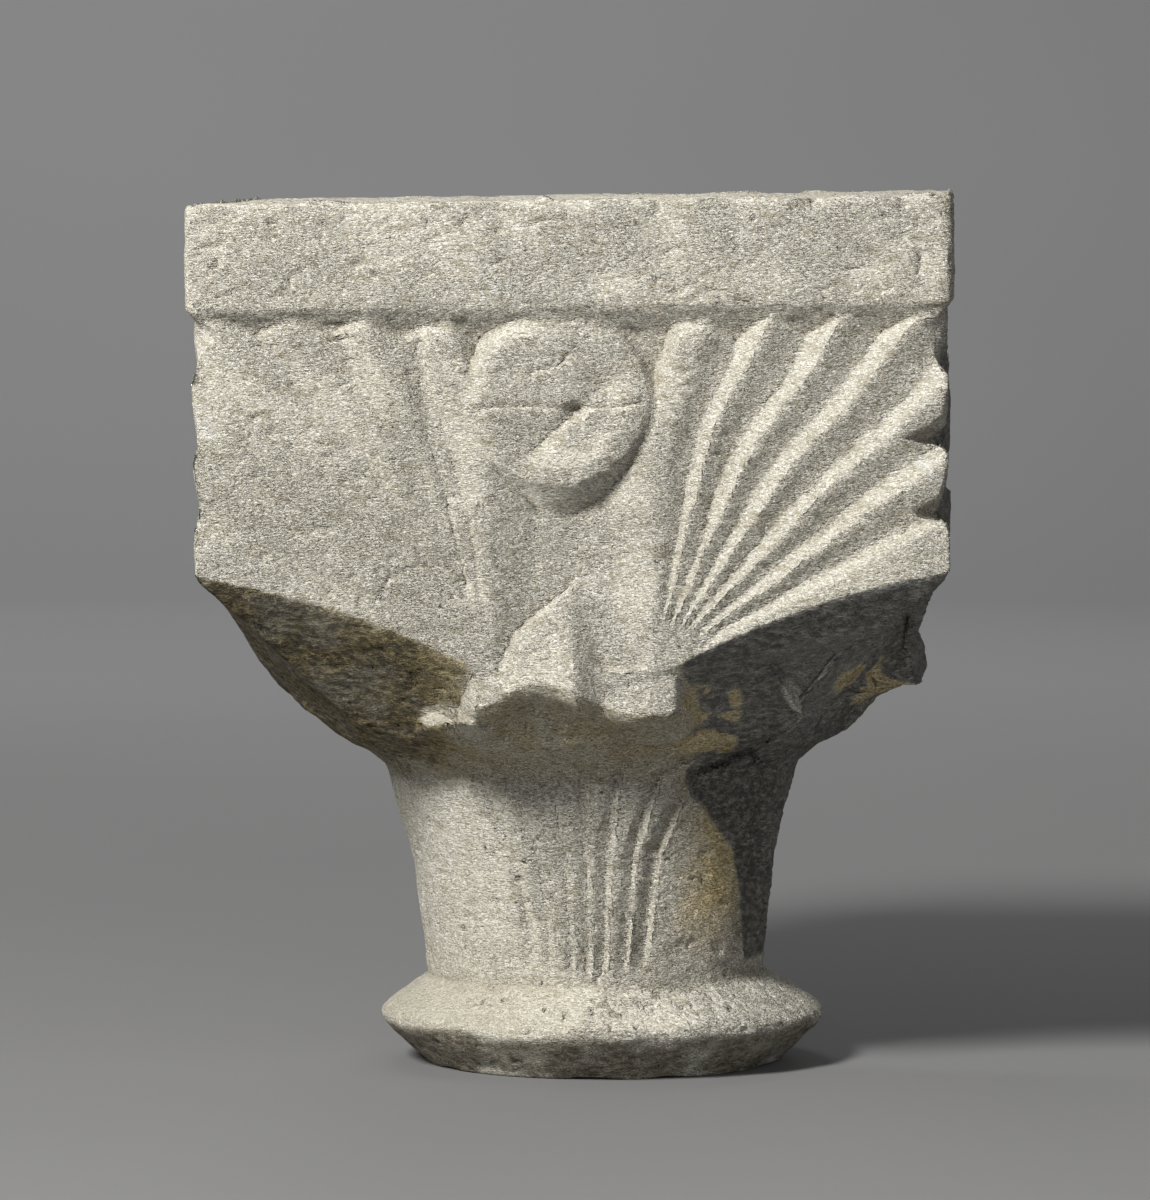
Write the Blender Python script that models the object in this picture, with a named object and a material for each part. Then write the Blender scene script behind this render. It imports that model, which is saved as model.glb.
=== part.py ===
import math

import bmesh
import bpy
import numpy as np

# Weathered sandstone capital of a small round column, one carved block.
# Metres, +Z up. The origin is the centre of the round lower bed, and the
# front face with the crisp right fan looks along -Y.

# Overall sizes
TOTAL_HEIGHT = 0.391
LEAN_DEGREES = 0.70
LEAN_FULL_RISE = 0.0040

# Square slab at the top
ABACUS_WIDTH = 0.331
ABACUS_HEIGHT = 0.0490
ABACUS_SLOPE_HEIGHT = 0.0115
ABACUS_SLOPE_DEPTH = 0.0110
ABACUS_EDGE_RADIUS = 0.0034
ABACUS_TOP_EDGE_SHARE = 0.90

# Round double bevel at the foot
FOOT_BED_RADIUS = 0.0810
FOOT_RIM_RADIUS = 0.1017
FOOT_RIM_LOW = 0.0195
FOOT_RIM_HIGH = 0.0245
FOOT_HEIGHT = 0.0410
FOOT_OFFSET = 0.0036

# Round neck, radius at each height
NECK_LOW_RADIUS = 0.0770
NECK_MIDDLE_HEIGHT = 0.0930
NECK_MIDDLE_RADIUS = 0.0834
NECK_HIGH_HEIGHT = 0.1340
NECK_HIGH_RADIUS = 0.0940
FLARE_BREAK_RISE = 0.0075
FLARE_LOW_SLOPE = 1.20
FLARE_HIGH_SLOPE = 2.30

# Block that carries the carving
BLOCK_WIDTH = 0.3265
CORNER_HEIGHT = 0.2265
BRACKET_HEIGHT = 0.1530
BRACKET_REACH = 0.0980
BRACKET_TURN = 0.27
BRACKET_ARCH = 0.0048
BRACKET_ARCH_START = 0.0450

# Fan leaves, two on each face
FAN_ROOT_HEIGHT = 0.1860
FAN_ROOT_SPREAD = 0.0345
FAN_HOLLOW_CURVE = 1.5
FAN_HOLLOW_RISE = 1.3
FAN_HOLLOW_LIMIT = 1.15
FAN_FIRST_RIDGE = 85.0
FAN_PITCH = 10.0
FAN_LAST_RIDGE = 25.0
FAN_BEND = 4.8
FAN_BEND_START = 0.0900
FAN_BEND_END = 0.1520
FAN_BEND_FROM_ANGLE = 28.0
FAN_BEND_FULL_ANGLE = 62.0
FAN_BEND_LEAST = 0.1
FLUTE_DEPTH = 0.0042
FLUTE_START_REACH = 0.0120
FLUTE_FULL_REACH = 0.0950
FLUTE_DEEPENING = 0.7
FLUTE_CREST_SHIFT = 0.10
FLUTE_SHIFT_START = 0.0700
FLUTE_SHIFT_END = 0.1400
FAN_TIP_GAP = 0.0055
FAN_TIP_NOTCH = 0.0085
FAN_TIP_NOTCH_CURVE = 1.5
FAN_TIP_NOTCH_LEAST = 0.4
FAN_TIP_SLOPE = 1.3
FIRST_TIP_DROP = 0.0040
FAN_MARGIN = 4.5
FAN_INNER_SLOPE = 0.40
FAN_MARGIN_SLOPE = 1.60
TIP_NOTCH_DEPTH = 0.0034
TIP_NOTCH_REACH = 0.0300

# Ground between the fans, behind their face, with a soft valley down its middle
GROUND_TOP_DEPTH = 0.0105
GROUND_LOW_DEPTH = 0.0065
GROUND_VALLEY_DEPTH = 0.0030
GROUND_VALLEY_HALF_WIDTH = 0.0300
GROUND_VALLEY_LEVEL = 0.4

# V cuts in the upright corners, and the hollow corner under the slab
CORNER_CUT_REACH = 0.0180
CORNER_CUT_DEPTH = 0.0115
CORNER_CUT_ABOVE = 0.0125
CORNER_CUT_BELOW = 0.0030
CORNER_CUT_ANGLES = (41.5, 30.7)
CORNER_RECESS_DEPTH = 0.0060
CORNER_RECESS_HEIGHT = 0.0165

# Four-petal boss between the fans, with the depth of its petals at each turn in degrees
BOSS_RADIUS = 0.0396
BOSS_FLATNESS = 1.08
BOSS_DROP = 0.0390
BOSS_SET_BACK = 0.0015
BOSS_SIDE_SLOPE = 2.60
BOSS_TAIL_SLOPE = 0.95
BOSS_TAIL_CURVE = 3
BOSS_EDGE_ROUND = 0.0022
BOSS_EDGE_START = 0.80
BOSS_DISH = 0.0012
BOSS_DISH_START = 0.55
BOSS_DISH_END = 0.85
PETAL_DEPTH = 0.0044
PETAL_TURNS = (0.0, 45.0, 70.0, 110.0, 150.0, 180.0, 224.0, 246.0, 300.0, 360.0)
PETAL_SHARES = (0.0, 1.0, 0.70, 0.42, 0.15, 0.05, 1.0, 0.25, 0.10, 0.0)
PETAL_START = 0.5
PETAL_RIM_FADE = 0.50
BOSS_EYE_RADIUS = 0.0066
BOSS_EYE_DEPTH = 0.0050
BOSS_EYE_DROP = 0.0059
BOSS_EYE_FLATNESS = 1.45
BOSS_EYE_STEEPNESS = 1.6

# Folded leaf at the foot of each face. Below its lip each height is a share of the
# underside, paired with how far the stone draws in there.
LEAF_TIP_HEIGHT = 0.2225
LEAF_WIDEST_HEIGHT = 0.1870
LEAF_LIP_HEIGHT = 0.1660
LEAF_HALF_WIDTH = 0.0440
LEAF_UNDERSIDE_HEIGHT = 0.0180
LEAF_UNDERSIDE_PROFILE = ((1.00, 0.0450), (0.72, 0.0210), (0.35, 0.0060))
LEAF_ROOT_SINK = 0.0020
LEAF_HALFWAY_SWELL = 0.85
LEAF_WIDEST_SWELL = 0.60
LEAF_UPPER_SWELL = 0.30
LEAF_UPPER_SHARE = 0.4
LEAF_ARCH = 0.0130
LEAF_ARCH_HALF_WIDTH = 0.0340
LEAF_LEFT_RISE = 0.0040
LEAF_LEFT_RISE_START = 0.0050
LEAF_LEFT_RISE_END = 0.0250
LEAF_FOLD_DEPTH = 0.0085
LEAF_FOLD_STEEP_WIDTH = 0.0095
LEAF_FOLD_GENTLE_WIDTH = 0.0210
LEAF_SIDE_FALL = 0.16
LEAF_SIDE_SLOPE = 2.6

# Broken stub that stands out below the left lobe of the leaf
STUB_SHIFT = -0.0480
STUB_HEIGHT = 0.1605
STUB_HALF_WIDTH = 0.0120
STUB_HALF_HEIGHT = 0.0060
STUB_REACH = 0.1410
STUB_FALL = 0.0220
STUB_FLAT_SHARE = 0.6
STUB_LIMIT_SHARE = 2.5

# Stems that rise from the foot on each face
STEM_SPREAD_LOW = 17.0
STEM_SPREAD_MIDDLE = 21.5
STEM_SPREAD_HIGH = 30.0
STEM_SPREAD_ARCH = 42.0
STEM_SPREAD_MIDDLE_HEIGHT = 0.1000
ARCH_RISE = 0.0090
STEM_GROOVE_DEPTH = 0.0027
STEM_GROOVE_HALF_WIDTH = 0.0032
STEM_OUTER_GROOVE_DEPTH = 0.0036
STEM_OUTER_GROOVE_HALF_WIDTH = 0.0042
STEM_FADE_START = 0.0020
STEM_FADE_END = 0.0120
STEM_WEAR_BLEND = 7.0
STEM_LINES = (-0.67, -0.29, 0.0, 0.29, 0.67)

# What the weather has left of the carving on each face, as a share of its depth,
# how hollow the face is towards its foot, and how far its folded leaf stands out
FRONT = {
    "left fan": 0.50,
    "right fan": 1.00,
    "boss": 1.00,
    "left stems": 0.35,
    "right stems": 1.00,
    "left corner": 0.15,
    "right corner": 1.00,
    "hollow": 0.0150,
    "leaf reach": 0.1575,
    "leaf carving": 1.00,
    "boss shift": -0.0052,
    "eye shift": 0.0075,
    "fold shift": 0.0120,
    "arch shift": -0.0090,
    "stub": 1.00,
}
RIGHT = {
    "left fan": 0.85,
    "right fan": 0.75,
    "boss": 0.80,
    "left stems": 0.90,
    "right stems": 0.70,
    "left corner": 1.00,
    "right corner": 0.70,
    "hollow": 0.0195,
    "leaf reach": 0.1555,
    "leaf carving": 1.00,
    "boss shift": 0.0,
    "eye shift": 0.0,
    "fold shift": 0.0,
    "arch shift": 0.0,
    "stub": 0.0,
}
BACK = {
    "left fan": 0.60,
    "right fan": 0.60,
    "boss": 0.70,
    "left stems": 0.60,
    "right stems": 0.60,
    "left corner": 0.70,
    "right corner": 0.50,
    "hollow": 0.0150,
    "leaf reach": 0.1535,
    "leaf carving": 0.80,
    "boss shift": 0.0,
    "eye shift": 0.0,
    "fold shift": 0.0,
    "arch shift": 0.0,
    "stub": 0.0,
}
LEFT = {
    "left fan": 0.60,
    "right fan": 0.45,
    "boss": 0.70,
    "left stems": 0.60,
    "right stems": 0.40,
    "left corner": 0.50,
    "right corner": 0.15,
    "hollow": 0.0170,
    "leaf reach": 0.1385,
    "leaf carving": 0.25,
    "boss shift": 0.0,
    "eye shift": 0.0,
    "fold shift": 0.0,
    "arch shift": 0.0,
    "stub": 0.0,
}
FACES = (FRONT, RIGHT, BACK, LEFT)

# Fineness of the lofted sections and of the finished facets
COLUMNS_PER_FACE = 180
SECTION_STEP = 0.0016
SECTION_MARGIN = 0.0040
CORNER_STEPS = 60
FACET_COUNT = 9300
SMALLEST = 1e-6

STONE_COLOUR = (0.47, 0.43, 0.345, 1.0)
STONE_ROUGHNESS = 0.92

HALF_SLAB = ABACUS_WIDTH / 2
HALF_BLOCK = BLOCK_WIDTH / 2
SLAB_UNDERSIDE = TOTAL_HEIGHT - ABACUS_HEIGHT
SLOPE_FOOT = SLAB_UNDERSIDE - ABACUS_SLOPE_HEIGHT
FAN_TIP_HEIGHT = SLAB_UNDERSIDE - FAN_TIP_GAP
BOSS_HEIGHT = SLAB_UNDERSIDE - BOSS_DROP


def rise(value, start, end):
    """Runs smoothly from 0 at start to 1 at end."""
    t = np.clip((value - start) / (end - start), 0.0, 1.0)
    return t * t * (3.0 - 2.0 * t)


def neck_radius(z):
    """Radius of the foot and the neck, with the flare of the bell above it."""
    flare_break = NECK_HIGH_HEIGHT + FLARE_BREAK_RISE
    break_radius = NECK_HIGH_RADIUS + FLARE_BREAK_RISE * FLARE_LOW_SLOPE
    flare_top = flare_break + HALF_BLOCK / FLARE_HIGH_SLOPE
    points = (
        (0.0, FOOT_BED_RADIUS),
        (FOOT_RIM_LOW, FOOT_RIM_RADIUS),
        (FOOT_RIM_HIGH, FOOT_RIM_RADIUS),
        (FOOT_HEIGHT, NECK_LOW_RADIUS),
        (NECK_MIDDLE_HEIGHT, NECK_MIDDLE_RADIUS),
        (NECK_HIGH_HEIGHT, NECK_HIGH_RADIUS),
        (flare_break, break_radius),
        (flare_top, break_radius + HALF_BLOCK),
    )
    return np.interp(z, [height for height, _ in points], [radius for _, radius in points])


def stem_spread(z):
    """Half the angle that the bundle of stems takes up around the neck."""
    heights = (FOOT_HEIGHT, STEM_SPREAD_MIDDLE_HEIGHT, NECK_HIGH_HEIGHT, NECK_HIGH_HEIGHT + ARCH_RISE)
    return np.interp(z, heights, (STEM_SPREAD_LOW, STEM_SPREAD_MIDDLE, STEM_SPREAD_HIGH, STEM_SPREAD_ARCH))


def groove(away, half_width, depth):
    """Depth of a V groove at a distance from its line."""
    return depth * np.clip(1.0 - away / half_width, 0.0, 1.0)


def neck_surface(u, z, face):
    """Neck with the grooves that part its stems."""
    radius = neck_radius(z)
    angle = np.degrees(np.arcsin(np.clip(u / radius, SMALLEST - 1.0, 1.0 - SMALLEST)))
    spread = stem_spread(z)
    blend = rise(angle, -STEM_WEAR_BLEND, STEM_WEAR_BLEND)
    kept = face["left stems"] + (face["right stems"] - face["left stems"]) * blend
    cut = np.zeros_like(angle)
    for share in STEM_LINES:
        away = np.radians(np.abs(angle - share * spread)) * radius
        cut = np.maximum(cut, groove(away, STEM_GROOVE_HALF_WIDTH, STEM_GROOVE_DEPTH))
    for side in (-1.0, 1.0):
        away = np.radians(np.abs(angle - side * spread)) * radius
        cut = np.maximum(cut, groove(away, STEM_OUTER_GROOVE_HALF_WIDTH, STEM_OUTER_GROOVE_DEPTH))
    on_neck = rise(z, FOOT_HEIGHT + STEM_FADE_START, FOOT_HEIGHT + STEM_FADE_END)
    radius = radius - cut * kept * on_neck
    return np.sqrt(np.maximum(radius * radius - u * u, SMALLEST))


def bracket_surface(u, z):
    """Sloping underside of the corners, a little arched on each side of the diagonal."""
    slope = (HALF_BLOCK - BRACKET_REACH) * (1.0 + BRACKET_TURN) / (CORNER_HEIGHT - BRACKET_HEIGHT)
    along = np.clip((np.abs(u) - BRACKET_ARCH_START) / (HALF_BLOCK - BRACKET_ARCH_START), 0.0, 1.0)
    arch = BRACKET_ARCH * 4.0 * along * (1.0 - along)
    return HALF_BLOCK - BRACKET_TURN * (np.abs(u) - HALF_BLOCK) + slope * (z - arch - CORNER_HEIGHT)


def hollow(u, z, depth):
    """How far a face sinks in towards the middle of its foot."""
    across = np.clip(np.abs(u) / HALF_BLOCK, 0.0, 1.0) ** FAN_HOLLOW_CURVE
    down = np.clip((SLAB_UNDERSIDE - z) / (SLAB_UNDERSIDE - FAN_ROOT_HEIGHT), 0.0, FAN_HOLLOW_LIMIT)
    return depth * (1.0 - across) * down**FAN_HOLLOW_RISE


def fan_surface(u, z, kept):
    """Height above the plain face of a fan leaf that spreads from its root towards +u."""
    du = u - FAN_ROOT_SPREAD
    dz = z - FAN_ROOT_HEIGHT
    reach = np.hypot(du, dz)
    angle = np.degrees(np.arctan2(dz, du))
    steep = (angle - FAN_BEND_FROM_ANGLE) / (FAN_BEND_FULL_ANGLE - FAN_BEND_FROM_ANGLE)
    outer = rise(reach, FAN_BEND_START, FAN_BEND_END)
    bent = angle + FAN_BEND * np.clip(steep, FAN_BEND_LEAST, 1.0) * outer
    within = (bent < FAN_FIRST_RIDGE) & (bent > FAN_LAST_RIDGE)
    turns = np.mod((FAN_FIRST_RIDGE - bent) / FAN_PITCH + 0.5, 1.0) - 0.5
    crest = -FLUTE_CREST_SHIFT * rise(reach, FLUTE_SHIFT_START, FLUTE_SHIFT_END)
    valley = np.where(turns < crest, (crest - turns) / (crest + 0.5), (turns - crest) / (0.5 - crest))
    valley = np.where(within, rise(valley, 0.0, 1.0), 0.0)
    start = np.clip((reach - FLUTE_START_REACH) / (FLUTE_FULL_REACH - FLUTE_START_REACH), 0.0, 1.0)
    depth = FLUTE_DEPTH * start**FLUTE_DEEPENING
    deeper = TIP_NOTCH_DEPTH * np.clip((z - FAN_TIP_HEIGHT + TIP_NOTCH_REACH) / TIP_NOTCH_REACH, 0.0, 1.0)
    notch = np.where(within, np.abs(turns) * 2.0, 0.0) ** FAN_TIP_NOTCH_CURVE
    notch = notch * (FAN_TIP_NOTCH_LEAST + (1.0 - FAN_TIP_NOTCH_LEAST) * kept)
    outline = FAN_TIP_HEIGHT - FAN_TIP_NOTCH * notch
    outline = outline - FIRST_TIP_DROP * rise(bent, FAN_FIRST_RIDGE - FAN_PITCH, FAN_FIRST_RIDGE)
    beyond = FAN_TIP_SLOPE * np.maximum(z - outline, 0.0)
    inner = np.radians(np.clip(bent - FAN_FIRST_RIDGE - FAN_MARGIN, 0.0, 90.0))
    slope = FAN_INNER_SLOPE + (FAN_MARGIN_SLOPE - FAN_INNER_SLOPE) * outer
    return -(depth + deeper) * valley * kept - beyond - slope * np.sin(inner) * reach


def ground_depth(u, z):
    """Depth of the ground between the fans behind their face."""
    plain = np.interp(z, (FAN_ROOT_HEIGHT, SLOPE_FOOT), (GROUND_LOW_DEPTH, GROUND_TOP_DEPTH))
    away = np.minimum(np.abs(u) / GROUND_VALLEY_HALF_WIDTH, 1.0)
    return plain + GROUND_VALLEY_DEPTH * (GROUND_VALLEY_LEVEL - away)


def boss_surface(u, z, shift, eye_shift, kept):
    """Round boss with sloping petals, an off-centre eye, and a side that runs out to a tail below."""
    du = u - shift
    dz = (z - BOSS_HEIGHT) * BOSS_FLATNESS
    reach = np.hypot(du, dz)
    share = np.clip(reach / BOSS_RADIUS, 0.0, 1.0)
    eye_across = du - eye_shift
    eye_up = dz + BOSS_EYE_DROP
    turn = np.mod(np.degrees(np.arctan2(eye_up, eye_across)), 360.0)
    petal = PETAL_DEPTH * np.interp(turn, PETAL_TURNS, PETAL_SHARES)
    petal = petal * np.clip(share / PETAL_START, 0.0, 1.0) * (1.0 - PETAL_RIM_FADE * share**4)
    edge = BOSS_EDGE_ROUND * rise(share, BOSS_EDGE_START, 1.0)
    dish = BOSS_DISH * (1.0 - rise(share, BOSS_DISH_START, BOSS_DISH_END))
    eye = np.hypot(eye_across, eye_up * BOSS_EYE_FLATNESS) / BOSS_EYE_RADIUS
    hole = BOSS_EYE_DEPTH * np.clip(BOSS_EYE_STEEPNESS * (1.0 - eye), 0.0, 1.0)
    downward = np.clip(-dz / np.maximum(reach, SMALLEST), 0.0, 1.0) ** BOSS_TAIL_CURVE
    fall = BOSS_SIDE_SLOPE + (BOSS_TAIL_SLOPE - BOSS_SIDE_SLOPE) * downward
    past = np.maximum(reach - BOSS_RADIUS, 0.0)
    return HALF_SLAB - BOSS_SET_BACK - (petal + edge + dish + hole) * kept - fall * past


def leaf_profile(face):
    """Heights up the middle of the folded leaf, and how far it stands out at each."""
    reach = face["leaf reach"]
    root = HALF_BLOCK - face["hollow"] - LEAF_ROOT_SINK
    tip = HALF_BLOCK - hollow(0.0, LEAF_TIP_HEIGHT, face["hollow"]) - ground_depth(0.0, LEAF_TIP_HEIGHT)
    points = [(LEAF_LIP_HEIGHT - LEAF_UNDERSIDE_HEIGHT - SECTION_MARGIN, 0.0)]
    for share, drawn_in in LEAF_UNDERSIDE_PROFILE:
        points.append((LEAF_LIP_HEIGHT - LEAF_UNDERSIDE_HEIGHT * share, reach - drawn_in))
    points.append((LEAF_LIP_HEIGHT, reach))
    halfway = (LEAF_LIP_HEIGHT + LEAF_WIDEST_HEIGHT) / 2
    points.append((halfway, root + (reach - root) * LEAF_HALFWAY_SWELL))
    points.append((LEAF_WIDEST_HEIGHT, root + (reach - root) * LEAF_WIDEST_SWELL))
    upper = LEAF_WIDEST_HEIGHT + (LEAF_TIP_HEIGHT - LEAF_WIDEST_HEIGHT) * LEAF_UPPER_SHARE
    middle = (root + tip) / 2
    points.append((upper, middle + (reach - middle) * LEAF_UPPER_SWELL))
    points.append((LEAF_TIP_HEIGHT, tip))
    return points


def leaf_surface(u, z, face):
    """Folded leaf: a tent that leans out to a lip with two lobes, and its underside."""
    kept = face["leaf carving"]
    arch = 1.0 - rise(np.abs(u - face["arch shift"]), 0.0, LEAF_ARCH_HALF_WIDTH)
    left = rise(-u, LEAF_LEFT_RISE_START, LEAF_LEFT_RISE_END)
    local = z - LEAF_ARCH * kept * arch - LEAF_LEFT_RISE * left
    points = leaf_profile(face)
    surface = np.interp(local, [height for height, _ in points], [reach for _, reach in points])
    opening = np.clip((LEAF_TIP_HEIGHT - z) / (LEAF_TIP_HEIGHT - LEAF_WIDEST_HEIGHT), 0.0, 1.0)
    across = u - face["fold shift"] * opening
    fold = np.maximum(-across / LEAF_FOLD_STEEP_WIDTH, across / LEAF_FOLD_GENTLE_WIDTH)
    crease = LEAF_FOLD_DEPTH * kept * opening * np.clip(1.0 - fold, 0.0, 1.0)
    past = np.maximum(np.abs(u) - LEAF_HALF_WIDTH * opening, 0.0)
    leaf = surface - LEAF_SIDE_FALL * np.abs(u) - crease - LEAF_SIDE_SLOPE * past
    inside = (z < LEAF_TIP_HEIGHT) & (local > LEAF_LIP_HEIGHT - LEAF_UNDERSIDE_HEIGHT)
    return np.where(inside, leaf, 0.0)


def stub_surface(u, z, kept):
    """Rough end of stone left standing below the broken lobe."""
    away = np.hypot((u - STUB_SHIFT) / STUB_HALF_WIDTH, (z - STUB_HEIGHT) / STUB_HALF_HEIGHT)
    stub = STUB_REACH - STUB_FALL * np.maximum(away - STUB_FLAT_SHARE, 0.0)
    return kept * np.where(away < STUB_LIMIT_SHARE, stub, 0.0)


def slab_surface(u, z):
    """Plain side of the slab, rounded towards its upright edges and its top."""
    radius = ABACUS_EDGE_RADIUS
    past = np.clip((np.abs(u) - HALF_SLAB + radius) / radius, 0.0, 1.0)
    above = np.clip((z - TOTAL_HEIGHT + radius) / radius, 0.0, ABACUS_TOP_EDGE_SHARE)
    return HALF_SLAB - radius * (2.0 - np.sqrt(1.0 - past**2) - np.sqrt(1.0 - above**2))


def corner_limit(z, kept):
    """Half-width of the block at an upright corner, with its V cuts."""
    limit = np.full_like(z, HALF_BLOCK)
    for degrees in CORNER_CUT_ANGLES:
        across = HALF_BLOCK - CORNER_CUT_REACH - FAN_ROOT_SPREAD
        height = FAN_ROOT_HEIGHT + across * math.tan(math.radians(degrees))
        above = (z - height) / CORNER_CUT_ABOVE
        below = (height - z) / CORNER_CUT_BELOW
        cut = np.clip(1.0 - np.maximum(above, below), 0.0, 1.0)
        limit = limit - CORNER_CUT_DEPTH * cut * kept
    recess = 1.0 - rise(np.abs(z - SLOPE_FOOT), 0.0, CORNER_RECESS_HEIGHT)
    return limit - CORNER_RECESS_DEPTH * recess


def face_surface(u, z, face):
    """Distance from the axis to one face, at u across it and z up it."""
    left = fan_surface(-u, z, face["left fan"])
    right = fan_surface(u, z, face["right fan"])
    carved = np.maximum(np.maximum(left, right), -ground_depth(u, z))
    carved = HALF_BLOCK - hollow(u, z, face["hollow"]) + carved
    corner = np.where(u < 0.0, face["left corner"], face["right corner"])
    carved = np.minimum(carved, 2.0 * corner_limit(z, corner) - np.abs(u))
    carved = np.maximum(carved, boss_surface(u, z, face["boss shift"], face["eye shift"], face["boss"]))
    carved = np.minimum(carved, bracket_surface(u, z))
    carved = np.maximum(carved, leaf_surface(u, z, face))
    carved = np.maximum(carved, stub_surface(u, z, face["stub"]))
    column = np.where(z < CORNER_HEIGHT, np.sqrt(np.maximum(NECK_HIGH_RADIUS**2 - u * u, 0.0)), 0.0)
    neck = neck_surface(u, z, face)
    carved = np.where(z < NECK_HIGH_HEIGHT, neck, np.minimum(np.maximum(carved, column), neck))
    under_slab = HALF_SLAB - ABACUS_SLOPE_DEPTH / ABACUS_SLOPE_HEIGHT * np.maximum(SLAB_UNDERSIDE - z, 0.0)
    carved = np.where(z > SLOPE_FOOT - SECTION_MARGIN, np.maximum(carved, under_slab), carved)
    return np.where(z >= SLAB_UNDERSIDE, slab_surface(u, z), carved)


def corner_reach(z, face, next_face):
    """Where the right edge of one face meets the left edge of the next."""
    reach = np.full_like(z, HALF_SLAB)
    for _ in range(CORNER_STEPS):
        met = np.minimum(face_surface(reach, z, face), face_surface(-reach, z, next_face))
        reach = 0.5 * (reach + met)
    return reach


def section_rings():
    """Closed rings of points, one for each height, from below the foot to above the top."""
    count = int(round((TOTAL_HEIGHT + 2.0 * SECTION_MARGIN) / SECTION_STEP)) + 1
    heights = np.linspace(-SECTION_MARGIN, TOTAL_HEIGHT + SECTION_MARGIN, count)
    for mark in (FOOT_RIM_LOW, FOOT_RIM_HIGH, FOOT_HEIGHT, SLAB_UNDERSIDE):
        heights[np.argmin(np.abs(heights - mark))] = mark
    corners = [corner_reach(heights, FACES[i], FACES[(i + 1) % 4]) for i in range(4)]
    shares = np.linspace(-1.0, 1.0, COLUMNS_PER_FACE + 1)[:-1]
    columns = []
    for number, face in enumerate(FACES):
        right = corners[number]
        left = corners[number - 1]
        for share in shares:
            limit = left if share < 0.0 else right
            u = share * limit
            w = face_surface(u, heights, face)
            w = np.minimum(w, 2.0 * limit - np.abs(u))
            if share == -1.0:
                w = limit
            angle = number * math.pi / 2
            x = u * math.cos(angle) + w * math.sin(angle)
            y = u * math.sin(angle) - w * math.cos(angle)
            columns.append(np.stack([x, y, heights], 1))
    return np.stack(columns, 1)


def lean(points):
    """Tilts all above the foot about the Y axis and sets it off the centre of the foot."""
    angle = math.radians(LEAN_DEGREES)
    share = rise(points[..., 2], FOOT_RIM_HIGH, FOOT_HEIGHT + LEAN_FULL_RISE)
    x = points[..., 0]
    up = points[..., 2] - FOOT_HEIGHT
    tilted_x = x * math.cos(angle) - up * math.sin(angle) - FOOT_OFFSET
    tilted_z = FOOT_HEIGHT + x * math.sin(angle) + up * math.cos(angle)
    out = points.copy()
    out[..., 0] = x + share * (tilted_x - x)
    out[..., 2] = points[..., 2] + share * (tilted_z - points[..., 2])
    return out


def loft(rings):
    """Mesh that runs through the rings, closed at both ends."""
    levels, count = rings.shape[:2]
    first = np.arange(levels - 1)[:, None] * count
    column = np.arange(count)[None, :]
    after = (column + 1) % count
    sides = np.stack([first + column, first + after, first + count + after, first + count + column], 2)
    faces = sides.reshape(-1, 4).tolist()
    faces.append(list(range(count))[::-1])
    faces.append(list(range((levels - 1) * count, levels * count)))
    mesh = bpy.data.meshes.new("sandstone_capital")
    mesh.from_pydata(rings.reshape(-1, 3).tolist(), [], faces)
    return mesh


def cut_bed(shape, point, normal):
    """Cuts off what lies beyond a plane and closes the cut with one flat face."""
    parts = shape.verts[:] + shape.edges[:] + shape.faces[:]
    bmesh.ops.bisect_plane(shape, geom=parts, plane_co=point, plane_no=normal, clear_outer=True, dist=SMALLEST)
    edges = [edge for edge in shape.edges if edge.is_boundary]
    bmesh.ops.contextual_create(shape, geom=edges)


def reduce_facets(obj):
    obj.modifiers.new("facets", "TRIANGULATE")
    faces = sum(len(face.vertices) - 2 for face in obj.data.polygons)
    fewer = obj.modifiers.new("fewer facets", "DECIMATE")
    fewer.decimate_type = "COLLAPSE"
    fewer.ratio = min(1.0, FACET_COUNT / faces)
    graph = bpy.context.evaluated_depsgraph_get()
    mesh = bpy.data.meshes.new_from_object(obj.evaluated_get(graph))
    obj.modifiers.clear()
    obj.data = mesh


def stone():
    material = bpy.data.materials.new("sandstone")
    material.use_nodes = True
    shader = material.node_tree.nodes["Principled BSDF"]
    shader.inputs["Base Color"].default_value = STONE_COLOUR
    shader.inputs["Roughness"].default_value = STONE_ROUGHNESS
    shader.inputs["Metallic"].default_value = 0.0
    return material


for existing in list(bpy.data.objects):
    bpy.data.objects.remove(existing, do_unlink=True)

collection = bpy.data.collections.new("sandstone capital")
bpy.context.scene.collection.children.link(collection)

capital = bpy.data.objects.new("sandstone_capital", loft(lean(section_rings())))
collection.objects.link(capital)
reduce_facets(capital)

tilt = math.radians(LEAN_DEGREES)
bed_rise = TOTAL_HEIGHT - FOOT_HEIGHT
top_point = (-FOOT_OFFSET - bed_rise * math.sin(tilt), 0.0, FOOT_HEIGHT + bed_rise * math.cos(tilt))
top_normal = (-math.sin(tilt), 0.0, math.cos(tilt))
solid = bmesh.new()
solid.from_mesh(capital.data)
cut_bed(solid, (0.0, 0.0, 0.0), (0.0, 0.0, -1.0))
cut_bed(solid, top_point, top_normal)
bmesh.ops.recalc_face_normals(solid, faces=solid.faces[:])
solid.to_mesh(capital.data)
solid.free()
capital.data.materials.clear()
capital.data.materials.append(stone())
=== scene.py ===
import math

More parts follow.
